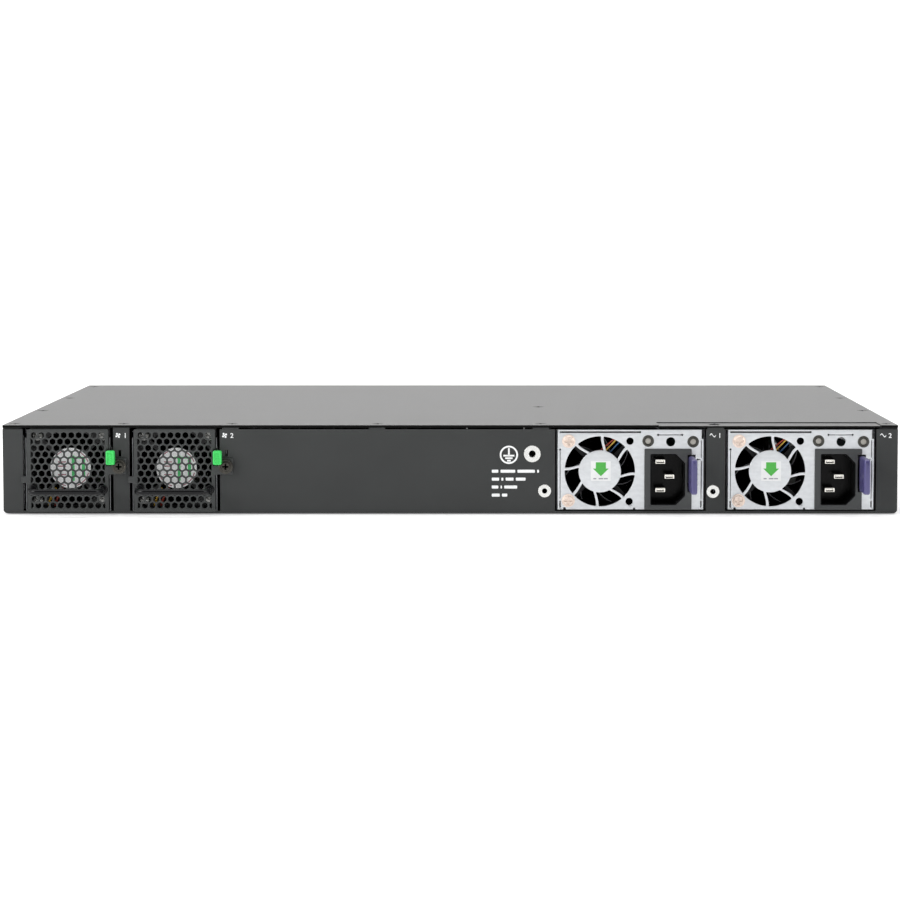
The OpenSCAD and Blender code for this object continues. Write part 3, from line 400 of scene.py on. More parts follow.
# The white ink glows a little: painted light on a part that is no lamp.
PRINT = finish("white_ink", (0.82, 0.83, 0.83), 0.55, mottle=0.05, mottle_size=1.0, grain=0.15,
               grain_size=0.15, glow=0.08)
PAPER = finish("label_paper", (0.80, 0.81, 0.81), 0.5, mottle=0.03, mottle_size=3, grain=0.2,
               grain_size=0.2)
# The hub label's paper and green ink glow: painted light, brighter than the light reaching them behind the
# grille.
GLOWING_HUB_PAPER = finish("hub_label_paper_glow", (0.85, 0.86, 0.86), 0.5, mottle=0.04, mottle_size=3, grain=0.2,
                   grain_size=0.2, glow=0.22)
GREEN_INK = finish("green_ink", (0.07, 0.42, 0.06), 0.5, mottle=0.06, mottle_size=1.0, grain=0.1,
                   grain_size=0.2)
GLOWING_HUB_GREEN = finish("hub_green_ink_glow", (0.10, 0.60, 0.20), 0.5, mottle=0.06, mottle_size=1.0, grain=0.1,
                   grain_size=0.2, glow=0.15)
PINK_INK = finish("pink_ink", (0.55, 0.22, 0.28), 0.5, mottle=0.1, mottle_size=1.0, grain=0.1,
                  grain_size=0.2)
GREY_INK = finish("grey_ink", (0.30, 0.29, 0.34), 0.5, mottle=0.1, mottle_size=1.0, grain=0.1,
                  grain_size=0.2)
WIRE_COLOURS = {"red": (0.32, 0.03, 0.014), "yellow": (0.56, 0.34, 0.03), "blue": (0.010, 0.065, 0.17),
                "black": (0.015, 0.015, 0.015)}
WIRES = {name: finish("wire_" + name, colour, 0.35, grain=0.15, grain_size=0.3)
         for name, colour in WIRE_COLOURS.items()}

SLOT_FINISHES = {
    "chassis_paint": PAINT, "cover_paint": COVER_PAINT, "bezel_paint": BEZEL_PAINT,
    "screw_black": BLACK_SCREW, "bright_steel": BRIGHT_STEEL, "galvanised": GALVANISED,
    "board_green": BOARD_GREEN, "brass_plate": BRASS, "port_steel": PORT_STEEL, "contact_gold": GOLD,
    "light_clear": CLEAR, "chip_black": CHIP, "sink_aluminium": ALUMINIUM, "black_plastic": BLACK_PLASTIC,
    "grille_paint": GRILLE_PAINT, "handle_black": HANDLE_BLACK, "latch_green": GREEN,
    "screw_steel": SCREW_STEEL, "plug_white": WHITE_PLASTIC, "psu_steel": ZINC,
    "lead_wire": WIRES["red"], "inlet_plastic": INLET, "blade_nickel": NICKEL, "lever_purple": PURPLE,
    "screw_brass": ROSE_BRASS, "collar_grey": COLLAR, "button_grey": BUTTON,
}


# ---- CAD nodes that stay ----

def soften(node, width):
    """Rounds a carried-over CAD node's edges without touching its own mesh."""
    shape = frame["nodes"][node]
    if "custom_normal" in shape.data.attributes:
        shape.data.attributes.remove(shape.data.attributes["custom_normal"])
    shape.data.shade_smooth()
    shape.modifiers.new("weld", "WELD").merge_threshold = 2e-6
    flat = shape.modifiers.new("flat", "DECIMATE")
    flat.decimate_type = "DISSOLVE"
    flat.angle_limit = math.radians(0.6)
    edge = shape.modifiers.new("edge", "BEVEL")
    edge.width = width * MM
    edge.segments = 2
    edge.limit_method = "ANGLE"
    edge.angle_limit = math.radians(40)
    shape.modifiers.new("normals", "WEIGHTED_NORMAL")


def dress_cad_nodes():
    """Gives every CAD node the finish of its material slot, and soft edges. The front grille is one thin
    sheet with many holes, which stays as it was cut."""
    fine_edges = {"rj45_contacts": 0.03, "light_pipes": 0.08, "cover_screws": 0.08, "board_screws": 0.1,
                  "top_cover": 0.05}
    own = {f"psu{k}_fan_frame": DARK_PLASTIC for k in MODULES}
    # The fan trays take the near-black zinc: painted shade in the gap round each fan plate.
    own.update({f"fan{k}_tray": TRAY_SHADE_ZINC for k in MODULES})
    own.update({f"psu{k}_case": CASE_ZINC for k in MODULES})
    for entry in frame["record"]["subparts"]:
        node = entry["node"]
        materials = frame["nodes"][node].data.materials
        materials.clear()
        materials.append(own.get(node, SLOT_FINISHES[entry["material_slot"]]))
        if node != "front_grille":
            soften(node, fine_edges.get(node, 0.18))


# ---- chassis ----

STRIP_SINK = 0.4



def fan_sign(form, x, z, size, depth):
    """A plain pinwheel: four blades round a dot."""
    form.plate(circle(x, z, size * 0.12, 12), depth, bevel=0)
    for quarter in range(4):
        turn = math.radians(90 * quarter + 20)
        blade = circle(size * 0.30, size * 0.06, size * 0.17, 14)
        moved = [(x + u * math.cos(turn) - v * math.sin(turn), z + u * math.sin(turn) + v * math.cos(turn))
                 for u, v in blade]
        form.plate(moved, depth, bevel=0)


def mains_sign(form, x, z, size, depth):
    """The sign for alternating current: one period of a wave."""
    steps, half = 16, size * 0.09
    wave = [(x + size * (i / steps - 0.5), z + size * 0.24 * math.sin(2 * math.pi * i / steps))
            for i in range(steps + 1)]
    ribbon = [(u, v + half) for u, v in wave] + [(u, v - half) for u, v in reversed(wave)]
    form.plate(ribbon, depth, bevel=0)


def rear_print():
    """White ink on the rear wall: bay numbers, the earth sign, and bars that stand for the rating lines."""
    ink = (-0.03, 0.02)
    form = Form()
    for k in MODULES:
        fan_sign(form, middle_x(f"fan{k}_frame") + 24.6, 39, 2.9, ink)
        form.lettering(str(k), middle_x(f"fan{k}_frame") + 28.2, 37.8, 2.3, ink[0] + 0.02)
        mains_sign(form, middle_x(f"psu{k}_case") + 40.4, 39, 3.0, ink)
        form.lettering(str(k), middle_x(f"psu{k}_case") + 43.8, 37.8, 2.3, ink[0] + 0.02)
    earth_sign(form, 28.8, 29.4, ink)
    rating_bars(form, 20.4, ink)
    form.done("rear_print", "chassis", "chassis_paint", PRINT)


def earth_sign(form, x, z, ink):
    """The standard protective-earth sign: a stem and three bars in a ring."""
    stroke = 0.42
    form.plate(circle(x, z, 4.5, 64), ink, [circle(x, z, 4.5 - 2 * stroke, 64)], bevel=0)
    form.plate(rectangle(x - stroke, x + stroke, z - 0.4, z + 3.3), ink, bevel=0)
    for i, half in enumerate((2.7, 1.8, 0.9)):
        level = z - 0.4 - i * 1.25
        form.plate(rectangle(x - half, x + half, level - stroke, level + stroke), ink, bevel=0)


def rating_bars(form, left, ink):
    """Plain short bars in four rows, which stand for printed lines and say nothing."""
    rows = ((21.3, (3.2, 7.2, 8.6, 0.9)), (17.4, (3.6, 1.0, 3.9, 4.8)), (13.5, (3.2, 0.7, 6.4)),
            (9.5, (3.9, 2.6)))
    half_height, gap = 0.75, 1.1
    for z, widths in rows:
        x = left
        for width in widths:
            form.plate(round_box(x, x + width, z - half_height, z + half_height, 0.3, 2), ink, bevel=0)
            x += width + gap


def top_strip():
    """The strip in the cover's rear edge, which lies a little lower than the cover around it."""
    low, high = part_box("rear_top_strip")
    depth = (depth_of("rear_top_strip", 0), depth_of("rear_top_strip", 1))
    form = Form().block((low.x / MM, high.x / MM), depth, (low.z / MM, high.z / MM - STRIP_SINK), 0.05)
    form.done("sunk_top_strip", "chassis", "cover_paint", COVER_PAINT, ["rear_top_strip"])


# ---- fan modules ----

FAN_Z = 22.2
FAN_PLATE = (-1.3, -0.3)
FAN_SCREW = (25.2, 23.8)
HEX_FLATS = 2.78
HEX_PITCH = 3.68
HEX_ROWS = 12
HEX_ROW_STEP = 3.15
HEX_FIRST_Z = 4.5
HEX_FIELD = 18.2


def grille_holes(x):
    """Rounded six-sided holes in staggered rows, cut off at the sides of the field."""
    reach = HEX_FLATS / math.sqrt(3)
    holes = []
    for row in range(HEX_ROWS):
        shift = HEX_PITCH / 2 if row % 2 else 0
        for i in range(-5, 6 - row % 2):
            u, v = i * HEX_PITCH + shift, HEX_FIRST_Z + row * HEX_ROW_STEP
            corners = [(u + reach * math.cos(t), v + reach * math.sin(t))
                       for t in (math.radians(30 + 60 * k) for k in range(6))]
            if abs(u) > HEX_FIELD:
                corners = [(max(-HEX_FIELD, min(HEX_FIELD, a)), b) for a, b in corners]
            holes.append([(x + a, b) for a, b in rounded(corners, 0.75, 3)])
    return [hole for hole in holes if abs(area(hole)) > 1.5]


def fan_face(k, x, body):
    """The pierced plate with its screw ear, hook and the notch for the latch."""
    outline = [(-20, 1.3), (20, 1.3), (20, 19.8), (28.7, 19.8), (28.7, 27.8), (22, 27.8), (22, 24),
               (18.9, 24), (18.9, 32.5), (20, 32.5), (20, 42), (-20, 42), (-20, 18.9), (-22.9, 18.9),
               (-22.9, 15.6), (-20, 15.6)]
    holes = grille_holes(x) + [circle(x + FAN_SCREW[0], FAN_SCREW[1], 1.6, 24)]
    form = Form()
    form.plate(rounded([(x + u, v) for u, v in outline], 0.7), FAN_PLATE, holes, bevel=0.2)
    form.done(f"fan{k}_grille", body, "grille_paint", GRILLE_PAINT, [f"fan{k}_face"])


def fan_handle(k, x, body):
    """A bent rod with swaged collars where it goes through the plate."""
    half, z, reach, bend, face = 17.2, 12.4, -14.8, 4, FAN_PLATE[0]
    right = [(x + half, d, z) for d in (face, -4, -8)]
    right += [(x + half - bend + u, reach + bend + v, z) for u, v in arc(0, 0, bend, 0, -90, 8)]
    left = [(2 * x - u, d, v) for u, d, v in reversed(right)]
    form = Form().rod(right + left, 1.5, 20, 0.92)
    collar = [(1.4, -2.3), (1.9, -2.3), (2.2, -2.0), (2.3, face), (1.4, face)]
    for side in (-1, 1):
        form.turned((x + side * half, z), collar, 28)
    form.done(f"fan{k}_pull_handle", body, "handle_black", HANDLE_BLACK, [f"fan{k}_handle"])


def fan_latch(k, x, body):
    """The green thumb pad with raised ribs, and its arm."""
    form = Form()
    form.plate(round_box(x + 19.4, x + 23.6, 25.0, 31.9, 0.9), (-7.1, -4), bevel=0.3)
    form.plate(round_box(x + 19.7, x + 23.3, 25.3, 31.6, 0.7), (-7.45, -7.0), bevel=0.15,
               holes=[round_box(x + 20.3, x + 22.7, 25.9, 31.0, 0.5)])
    for i in range(4):
        z = 26.6 + i * 1.1
        form.block((x + 20.6, x + 22.4), (-7.35, -7.0), (z, z + 0.45), 0.1)
    form.block((x + 20.9, x + 21.4), (-4.2, 7), (25.4, 31.1), 0.1)
    form.block((x + 20.3, x + 21.4), (4, 7), (25.4, 31.1), 0.1)
    form.done(f"fan{k}_thumb_pad", body, "latch_green", GREEN, [f"fan{k}_latch"])


def cross(x, z, reach, half):
    """The outline of a cross recess."""
    quarter = [(reach, -half), (reach, half), (half, half)]
    points = []
    for c, s in ((1, 0), (0, 1), (-1, 0), (0, -1)):
        points += [(x + u * c - v * s, z + u * s + v * c) for u, v in quarter]
    return points


def knurled(x, z, radius, teeth, depth):
    """A round outline with fine teeth."""
    turns = [(i, math.radians(180 * i / teeth)) for i in range(2 * teeth)]
    return [(x + (radius - depth * (i % 2)) * math.cos(t), z + (radius - depth * (i % 2)) * math.sin(t))
            for i, t in turns]


def captive_screw(k, x, body):
    """A knurled thumb screw with a stepped head and a cross recess."""
    cx, cz = x + FAN_SCREW[0], FAN_SCREW[1]
    rim = [(2.9, -2.95), (3.0, -2.9), (3.0, -3.0), (2.85, -3.1), (2.4, -3.1), (2.3, -2.95)]
    form = Form()
    form.plate(knurled(cx, cz, 3.65, 30, 0.16), (-2.9, -1.4), bevel=0.1)
    form.turned((cx, cz), rim, 40)
    form.plate(circle(cx, cz, 2.25, 32), (-3.4, -2.9), [cross(cx, cz, 1.5, 0.38)], bevel=0.1)
    form.turned((cx, cz), [(1.45, -1.5), (1.5, -1.4), (1.5, 5.2), (1.0, 6.0)], 24)
    form.done(f"fan{k}_thumb_screw", body, "screw_steel", SCREW_STEEL, [f"fan{k}_screw"])


def fan_label(x, k, body):
    """A white disc on the fan's hub with plain coloured marks, seen through the grille; the disc and the
    green marks glow, as painted light.
    """
    z, near = FAN_Z, depth_of(f"fan{k}_frame", 0)
    Form().plate(circle(x, z, 10, 64), (near - 0.15, near - 0.03), bevel=0.02).done(
        f"fan{k}_hub_label", body, "black_plastic", GLOWING_HUB_PAPER)
    ink = (near - 0.18, near - 0.14)
    green = Form()
    green.plate(round_box(x + 0.6, x + 2.0, z - 6.4, z + 6.2, 0.3), ink, bevel=0)
    green.plate(round_box(x + 5.6, x + 7.2, z - 4.6, z + 4.4, 0.3), ink, bevel=0)
    green.plate(round_box(x - 1.2, x + 7.4, z + 4.6, z + 5.6, 0.3), ink, bevel=0)
    green.done(f"fan{k}_label_green", body, "black_plastic", GLOWING_HUB_GREEN)
    pink = Form()
    for start in (20, 110, 200, 290):
        ring = arc(x, z, 9.4, start, start + 55, 12) + arc(x, z, 8.9, start + 55, start, 12)
        pink.plate(ring, ink, bevel=0)
    for i in range(4):
        pink.plate(round_box(x - 6.2, x - 2.2, z - 3.6 + i * 2.1, z - 3.0 + i * 2.1, 0.2), ink, bevel=0)
    pink.done(f"fan{k}_label_pink", body, "black_plastic", PINK_INK)


def pan_head(form, x, z, near, radius, height):
    """A domed screw head with a cross recess, standing rearwards from a face at depth near."""
    dome = [(1, 0), (1, 0.3), (0.93, 0.62), (0.72, 0.86)]
    form.turned((x, z), [(radius * r, near - height * h) for r, h in dome], 32)
    form.plate(circle(x, z, radius * dome[-1][0], 28), (near - height, near - height * 0.8),
               [cross(x, z, radius * 0.52, radius * 0.13)], bevel=0.04)


def fan_fixings(k, x, body):
    """The four bright screws in the corners of the fan frame."""
    near = depth_of(f"fan{k}_frame", 0)
    form = Form()
    for side in (-16, 16):
        for level in (6.2, 38.2):
            pan_head(form, x + side, level, near, 2.8, 1.9)
    form.done(f"fan{k}_fixings", body, "screw_steel", DULL_STEEL)


def fan_front_leads(k, x, body):
    """Two of the fan's leads, looped behind the lower rows of the grille."""
    for i, colour in enumerate(("yellow", "red")):
        shift = i * 3.4
        route = [(x - 11 + shift, 7.6, 3.6), (x - 10.5 + shift, 5.8, 5.4), (x - 9.4 + shift, 5.2, 8.0),
                 (x - 8.2 + shift, 5.8, 10.4), (x - 7.4 + shift, 7.6, 12.2)]
        Form().rod(route, 0.62, 10).done(f"fan{k}_lead_{colour}", body, "lead_wire", WIRES[colour])


ROTOR_SPAN = (3.5, 26.5)
BLADE_SWEEP = 26
BLADE_ROWS = 7
BLADE_COLUMNS = 9


def blade_point(at, hub, tip, span, start, i, j):
    """A point of a blade's middle surface: i runs from root to tip, j from its far edge to its near."""
    t, s = i / (BLADE_ROWS - 1), j / (BLADE_COLUMNS - 1)
    radius = hub - 0.3 + (tip - hub + 0.3) * t
    turn = math.radians(start + BLADE_SWEEP * t + (34 + 8 * t) * (s - 0.5))
    level = span[0] + 1.4 + (span[1] - span[0] - 2.8) * (1 - s)
    return at[0] + radius * math.cos(turn), at[1] + radius * math.sin(turn), level


def rotor(name, node, body, at, hub, tip, near, far, blades, start=0):
    """A fan rotor: a hub cup over the coil, a shaft, and swept blades that twist from root to tip."""
    x, z = at
    form = Form()
    form.turned(at, [(hub - 1.2, far - 2), (hub - 1.2, near), (hub - 0.2, near), (hub, near + 0.3),
                     (hub, far - 0.8), (hub - 0.8, far)], 48)
    form.turned(at, [(1.3, near - 2), (1.4, near - 1.8), (1.4, far - 1.5)], 20)
    for b in range(blades):
        sides = []
        for face in (-0.5, 0.5):
            grid = []
            for i in range(BLADE_ROWS):
                thin = 1.0 - 0.5 * i / (BLADE_ROWS - 1)
                line = []
                for j in range(BLADE_COLUMNS):
                    round_off = math.sin(math.pi * min(max(j / (BLADE_COLUMNS - 1), 0.04), 0.96)) ** 0.5
                    u, v, level = blade_point(at, hub, tip, (near, far), start + 360 * b / blades, i, j)
                    line.append(form.bm.verts.new(facing_rear(u, v, level + face * thin * round_off)))
                grid.append(line)
            sides.append(grid)
        close_blade(form.bm, sides, BLADE_ROWS, BLADE_COLUMNS)
    form.done(name, body, "black_plastic", BLADE_PLASTIC, [node])


def blade_edges(name, body, at, hub, tip, near, far, blades, start):
    """Light grey rods along the near edge of each blade: a painted highlight on the blade edges."""
    form = Form()
    for b in range(blades):
        points = [blade_point(at, hub, tip, (near, far), start + 360 * b / blades, i, BLADE_COLUMNS - 1)
                  for i in range(BLADE_ROWS)]
        form.rod([(u, level - 0.1, v) for u, v, level in points], 0.24, 8)
    form.done(name, body, "black_plastic", BLADE_HIGHLIGHT_GREY)


def close_blade(bm, sides, rows, across):
    """Faces for a blade's two sides and its rim."""
    for grid in sides:
        for i in range(rows - 1):
            for j in range(across - 1):
                bm.faces.new((grid[i][j], grid[i][j + 1], grid[i + 1][j + 1], grid[i + 1][j]))
    rim = [(i, 0) for i in range(rows)] + [(rows - 1, j) for j in range(1, across)]
    rim += [(i, across - 1) for i in range(rows - 2, -1, -1)] + [(0, j) for j in range(across - 2, 0, -1)]
    for (i, j), (m, n) in zip(rim, rim[1:] + rim[:1]):
        bm.faces.new((sides[0][i][j], sides[0][m][n], sides[1][m][n], sides[1][i][j]))


def fan_module(k):
    x, body = middle_x(f"fan{k}_frame"), f"fan{k}_module"
    fan_face(k, x, body)
    fan_handle(k, x, body)
    fan_latch(k, x, f"fan{k}_latch")
    captive_screw(k, x, f"fan{k}_screw")
    fan_label(x, k, body)
    fan_fixings(k, x, body)
    fan_front_leads(k, x, body)
    near = depth_of(f"fan{k}_frame", 0)
    rotor(f"fan{k}_blades", f"fan{k}_rotor", f"fan{k}_rotor", (x, FAN_Z), 10, 17.9, near + ROTOR_SPAN[0],
          near + ROTOR_SPAN[1], 5)


# ---- power supplies ----

PSU_FAN = (-15.1, 21.3)
INDICATORS = ((8.6, 36.3), (30.7, 35.9))
BLADE_PLACES = ((15, 25.6), (19.6, 18.2), (15, 11.5))
GUARD_HUB = 10.4
GUARD_RADIUS = 17.3
SPOKES = 8
SPOKE_WIDTH = 1.3
SPOKE_START = 31
SPOKE_LEAN = 10
SPOKE_BULGE = 2.7


def spoke_point(i, t, side):
    """A point on one edge of a curved spoke of the finger guard, t from the hub (0) to the rim (1)."""
    radius = GUARD_HUB + (GUARD_RADIUS - GUARD_HUB) * t
    angle = SPOKE_START + 360 / SPOKES * i + SPOKE_LEAN * t + SPOKE_BULGE * 4 * t * (1 - t)
    turn = math.radians(angle) + side * SPOKE_WIDTH / 2 / radius
    return radius, turn


def guard_openings(x, z):
    """The openings between the guard's spokes."""
    steps, openings = 7, []
    for i in range(SPOKES):
        up = [spoke_point(i, t / steps, 1) for t in range(steps + 1)]
        down = [spoke_point(i + 1, 1 - t / steps, -1) for t in range(steps + 1)]
        over = [(GUARD_RADIUS, up[-1][1] + (down[0][1] - up[-1][1]) * t / 10) for t in range(1, 10)]
        back = [(GUARD_HUB, down[-1][1] + (up[0][1] - down[-1][1]) * t / 8) for t in range(1, 8)]
        ring = [(x + r * math.cos(a), z + r * math.sin(a)) for r, a in up + over + down + back]
        openings.append(rounded(ring, 0.5, 3))
    return openings


def psu_face(k, x, body):
    """The zinc-plated face: finger guard, cut-outs, folded edges and slots in one sheet."""
    gx, gz = x + PSU_FAN[0], PSU_FAN[1]
    outline = [(-35.8, 2.5), (-33.1, 2.5), (-32.9, 3.5), (-31.9, 3.5), (-31.7, 2.5), (1.2, 2.5), (1.4, 3.4),
               (2.2, 3.4), (2.4, 2.5), (7.6, 2.5), (7.6, 31.8), (27.2, 31.8), (27.2, 29.5), (31.9, 29.5),
               (31.9, 11.2), (27.2, 11.2), (27.2, 2.5), (35.8, 2.5), (35.8, 37.3), (34.9, 37.3),
               (34.9, 41.8), (-35.8, 41.8)]
    holes = guard_openings(gx, gz)
    holes += [circle(x + u, v, 1.8, 28) for u, v in ((-0.3, 36.2), (-0.6, 6.4))]
    holes += [circle(x + u, v, 1.55, 20) for u, v in ((-30.4, 36.2), (-30.6, 6.9))]
    holes += [circle(x + u, v, 2.0, 24) for u, v in INDICATORS]
    holes.append(circle(x + 19.7, 35.9, 2.25, 32))
    holes.append(slot_with_dots(x + 13.5, x + 25.3, 39.3))
    holes.append([(x - 34.8, 40.3)] + arc(x + 4.7, 40.65, 0.5, -136, 136, 10) + [(x - 34.8, 41.0)])
    holes += [rectangle(x + 34.55, x + 34.88, 7.6, 26.4), rectangle(x + 34.55, x + 34.88, 28, 36.6)]
    holes += [round_box(x + 34.4, x + 35.0, 3.4, 6.8, 0.2), round_box(x - 34.9, x - 34.3, 3.4, 6.8, 0.2)]
    holes += [rectangle(x - 34.75, x - 34.45, 7.8, 31.2), circle(x - 34.6, 32.1, 0.5, 12)]
    holes.append([(x + 34.3, 27.0), (x + 34.3, 27.4)] + arc(x + 32.9, 27.2, 0.4, 30, 330, 10))
    form = Form()
    form.plate([(x + u, v) for u, v in outline], (-0.6, 0.4), holes, bevel=0.12)
    form.block((x - 35.4, x + 4.6), (-0.8, -0.5), (41.12, 41.76), 0.12)
    form.block((x + 35.1, x + 35.76), (-0.8, -0.5), (3.0, 37.1), 0.15)
    form.block((x - 35.76, x - 35.1), (-0.8, -0.5), (3.0, 41.0), 0.15)
    form.turned((gx, gz), [(9.7, -0.5), (9.75, -0.66), (9.55, -0.7), (0.5, -0.72)], 64)
    form.done(f"psu{k}_faceplate", body, "psu_steel", ZINC, [f"psu{k}_face"])


def slot_with_dots(x0, x1, z):
    """A thin slot with a round relief hole at each end."""
    half, dot = 0.14, 0.5
    lean = math.degrees(math.asin(half / dot))
    return arc(x1, z, dot, lean - 180, 180 - lean, 14) + arc(x0, z, dot, lean, 360 - lean, 14)


def psu_sticker(k, x, body):
    """A square paper label with a plain green arrow that shows the way the air flows."""
    cx, cz, half, ink = x - 14.6, 21.5, 4.9, (-0.85, -0.81)
    Form().plate(round_box(cx - half, cx + half, cz - half, cz + half, 0.4), (-0.82, -0.74), bevel=0.02).done(
        f"psu{k}_sticker", body, "psu_steel", PAPER)
    arrow = [(-2.5, 4.3), (2.5, 4.3), (2.5, 1.2), (3.9, 1.2), (0, -2.6), (-3.9, 1.2), (-2.5, 1.2)]
    green = Form().plate([(cx + u, cz + v) for u, v in arrow], ink, bevel=0)
    green.done(f"psu{k}_sticker_arrow", body, "psu_steel", GREEN_INK)
    grey_marks = Form()
    for i, width in enumerate((1.5, 2.3, 1.9)):
        start = cx - 3.7 + i * 2.6
        grey_marks.plate(round_box(start, start + width, cz - 4.1, cz - 3.5, 0.15, 2), ink, bevel=0)
    grey_marks.done(f"psu{k}_sticker_bars", body, "psu_steel", GREY_INK)


def psu_indicators(k, x, body):
    """Two indicator windows: a dark rounded collar with a frosted lens."""
    collars, lenses = Form(), Form()
    for u, z in INDICATORS:
        at = (x + u, z)
        collars.turned(at, [(2.85, -0.6), (2.85, -0.85), (2.6, -1.12), (2.2, -1.15), (1.75, -0.98),
                            (1.55, -0.7), (1.55, -0.6)], 40)
        lenses.turned(at, [(1.35, 5.5), (1.45, -0.6), (1.4, -0.8), (1.05, -0.98), (0.5, -1.08)], 28)
    collars.done(f"psu{k}_collars", body, "collar_grey", COLLAR, [f"psu{k}_indicators"])
    lenses.done(f"psu{k}_lenses", body, "light_clear", LENS)


def mouth(x, grow=0.0):
    """The outline of the inlet's cavity: two chamfered corners on the right, two round ones on the left."""
    x0, x1, z0, z1, chamfer = x + 10.2 - grow, x + 26.4 + grow, 5.2 - grow, 29.5 + grow, 4.5
    return rounded([(x0, z0), (x0 + 1.6, z0), (x1 - chamfer, z0), (x1, z0 + chamfer), (x1, z1 - chamfer),
                    (x1 - chamfer, z1), (x0 + 1.6, z1), (x0, z1)], 1.5, 5)


def psu_inlet(k, x, body):
    """The mains inlet: a grey flange, and a well that the blades stand in, in a near-black that paints shade
    into the recess.
    """
    flange = [(6.8, 2.4), (30, 2.4), (30, 11.2), (28.0, 11.2), (28.0, 29.5), (30, 29.5), (30, 32.4),
              (6.8, 32.4)]
    form = Form()
    form.plate(rounded([(x + u, v) for u, v in flange], 0.5), (-1.8, -0.62), [mouth(x, 0.45)], bevel=0.22)
    form.plate(round_box(x + 7.8, x + 27.1, 3.2, 31.5, 0.5), (-0.62, 16), [mouth(x, 0.45)], bevel=0.1)
    form.plate(round_box(x + 7.8, x + 27.1, 3.2, 31.5, 0.5), (16, 20), bevel=0.2)
    form.done(f"psu{k}_inlet_shell", body, "inlet_plastic", INLET, [f"psu{k}_inlet"])
    well = Form()
    well.plate(mouth(x, 0.42), (-1.72, 15.9), [mouth(x, 0.0)], bevel=0.15)
    well.plate(mouth(x, -0.02), (15.6, 16), bevel=0.05)
    well.done(f"psu{k}_inlet_well", body, "inlet_plastic", INLET_WELL_SHADE)


def psu_blades(k, x, body):
    """Three flat blades, each with a coined groove in its tip."""
    form = Form()
    for u, z in BLADE_PLACES:
        blade = round_box(x + u - 2.6, x + u + 2.6, z - 1.2, z + 1.2, 0.5)
        groove = round_box(x + u - 1.7, x + u + 1.7, z - 0.5, z + 0.5, 0.3)
        form.plate(blade, (5.5, 8), [groove], bevel=0.24)
        form.plate(blade, (7.8, 15.9), bevel=0.02)
        form.block((x + u - 2, x + u + 2), (20, 26), (z - 0.4, z + 0.4), 0.1)
    form.done(f"psu{k}_inlet_blades", body, "blade_nickel", NICKEL, [f"psu{k}_inlet_pins"])


def psu_lever(k, x, body):
    """The purple release lever: a rounded finger tab with ribs, and an arm with an eye for its pivot."""
    cx, arm_z, eye_depth = x + 29.8, (13.2, 26.2), 30
    tab = rounded([(-23.8, 11.8), (-4, 11.8), (-4, 29.2), (-23.8, 29.2)], 2.4, 8)
    form = Form()
    form.plate(tab, (cx - 1.5, cx + 1.5), bevel=1.0, place=facing_side)
    for i in range(4):
        z = 16.2 + i * 2.6
        form.block((cx - 1.68, cx + 1.68), (-21.5, -8), (z, z + 0.9), 0.2)
    for i in range(3):
        u = cx - 0.9 + i * 0.75
        form.block((u, u + 0.35), (-24, -23.4), (25.6, 27.6), 0.14)
    form.block((cx + 0.1, cx + 1.4), (-5, eye_depth - 2), arm_z, 0.3)
    bore = circle(cx, eye_depth, 1.7, 24)
    form.plate(circle(cx, eye_depth, 3.2, 32), arm_z, [bore], bevel=0.15, place=facing_up)
    form.block((cx + 0.9, cx + 5.2), (6, 10), (18, 24), 0.3)
    form.done(f"psu{k}_release_lever", body, "lever_purple", PURPLE, [f"psu{k}_lever"])


def psu_leads(k, x, body):
    """Red, yellow and blue leads from the fan's hub over the corner of its frame."""
    routes = {"red": ((-14.4, 31.6), (-7.8, 37.3)), "yellow": ((-12.2, 31.1), (-7.5, 36.3)),
              "blue": ((-10.2, 30.2), (-5.8, 35.2))}
    for i, (colour, (root, rim)) in enumerate(routes.items()):
        z, side = 39.8 - i * 0.9, x + 4.3 + i * 1.1
        route = [(x + root[0], 3.4, root[1]), (x + rim[0], 1.3, rim[1]), (x - 4.5 + i * 1.1, 1.3, z),
                 (side - 0.6, 1.3, z), (side, 2.0, z - 0.4), (side, 52, 11.2)]
        covered = [f"psu{k}_fan_leads"] if colour == "red" else []
        Form().rod(route, 0.36, 10).done(f"psu{k}_lead_{colour}", body, "lead_wire", WIRES[colour], covered)


def psu_module(k):
    x, body = middle_x(f"psu{k}_case"), f"psu{k}_module"
    psu_face(k, x, body)
    psu_sticker(k, x, body)
    psu_indicators(k, x, body)
    psu_inlet(k, x, body)
    psu_blades(k, x, body)
    psu_lever(k, x, f"psu{k}_lever")
    psu_leads(k, x, body)
    near = depth_of(f"psu{k}_fan_frame", 0)
    shape = ((x + PSU_FAN[0], PSU_FAN[1]), 9.4, 16.8, near + ROTOR_SPAN[0], near + ROTOR_SPAN[1], 7, -13)
    rotor(f"psu{k}_fan_blades", f"psu{k}_fan_rotor", f"psu{k}_rotor", *shape)
    blade_edges(f"psu{k}_blade_edges", f"psu{k}_rotor", *shape)


# ---- front ports ----

JACK_PITCH = 14
JACKS_IN_ROW = 6


def jack_opening(x, z, upside):
    """The keyed opening of an eight-way jack, with the clip's notch at the bottom, or the top if upside."""
    half, tall, notch, deep = 5.85, 6.9, 3.0, 1.9
    shape = [(-half, 0), (-notch, 0), (-notch, -deep), (notch, -deep), (notch, 0), (half, 0), (half, tall),
             (-half, tall)]
    turn = -1 if upside else 1
    return rounded([(x + u, z + turn * v) for u, v in shape], 0.25, 2)


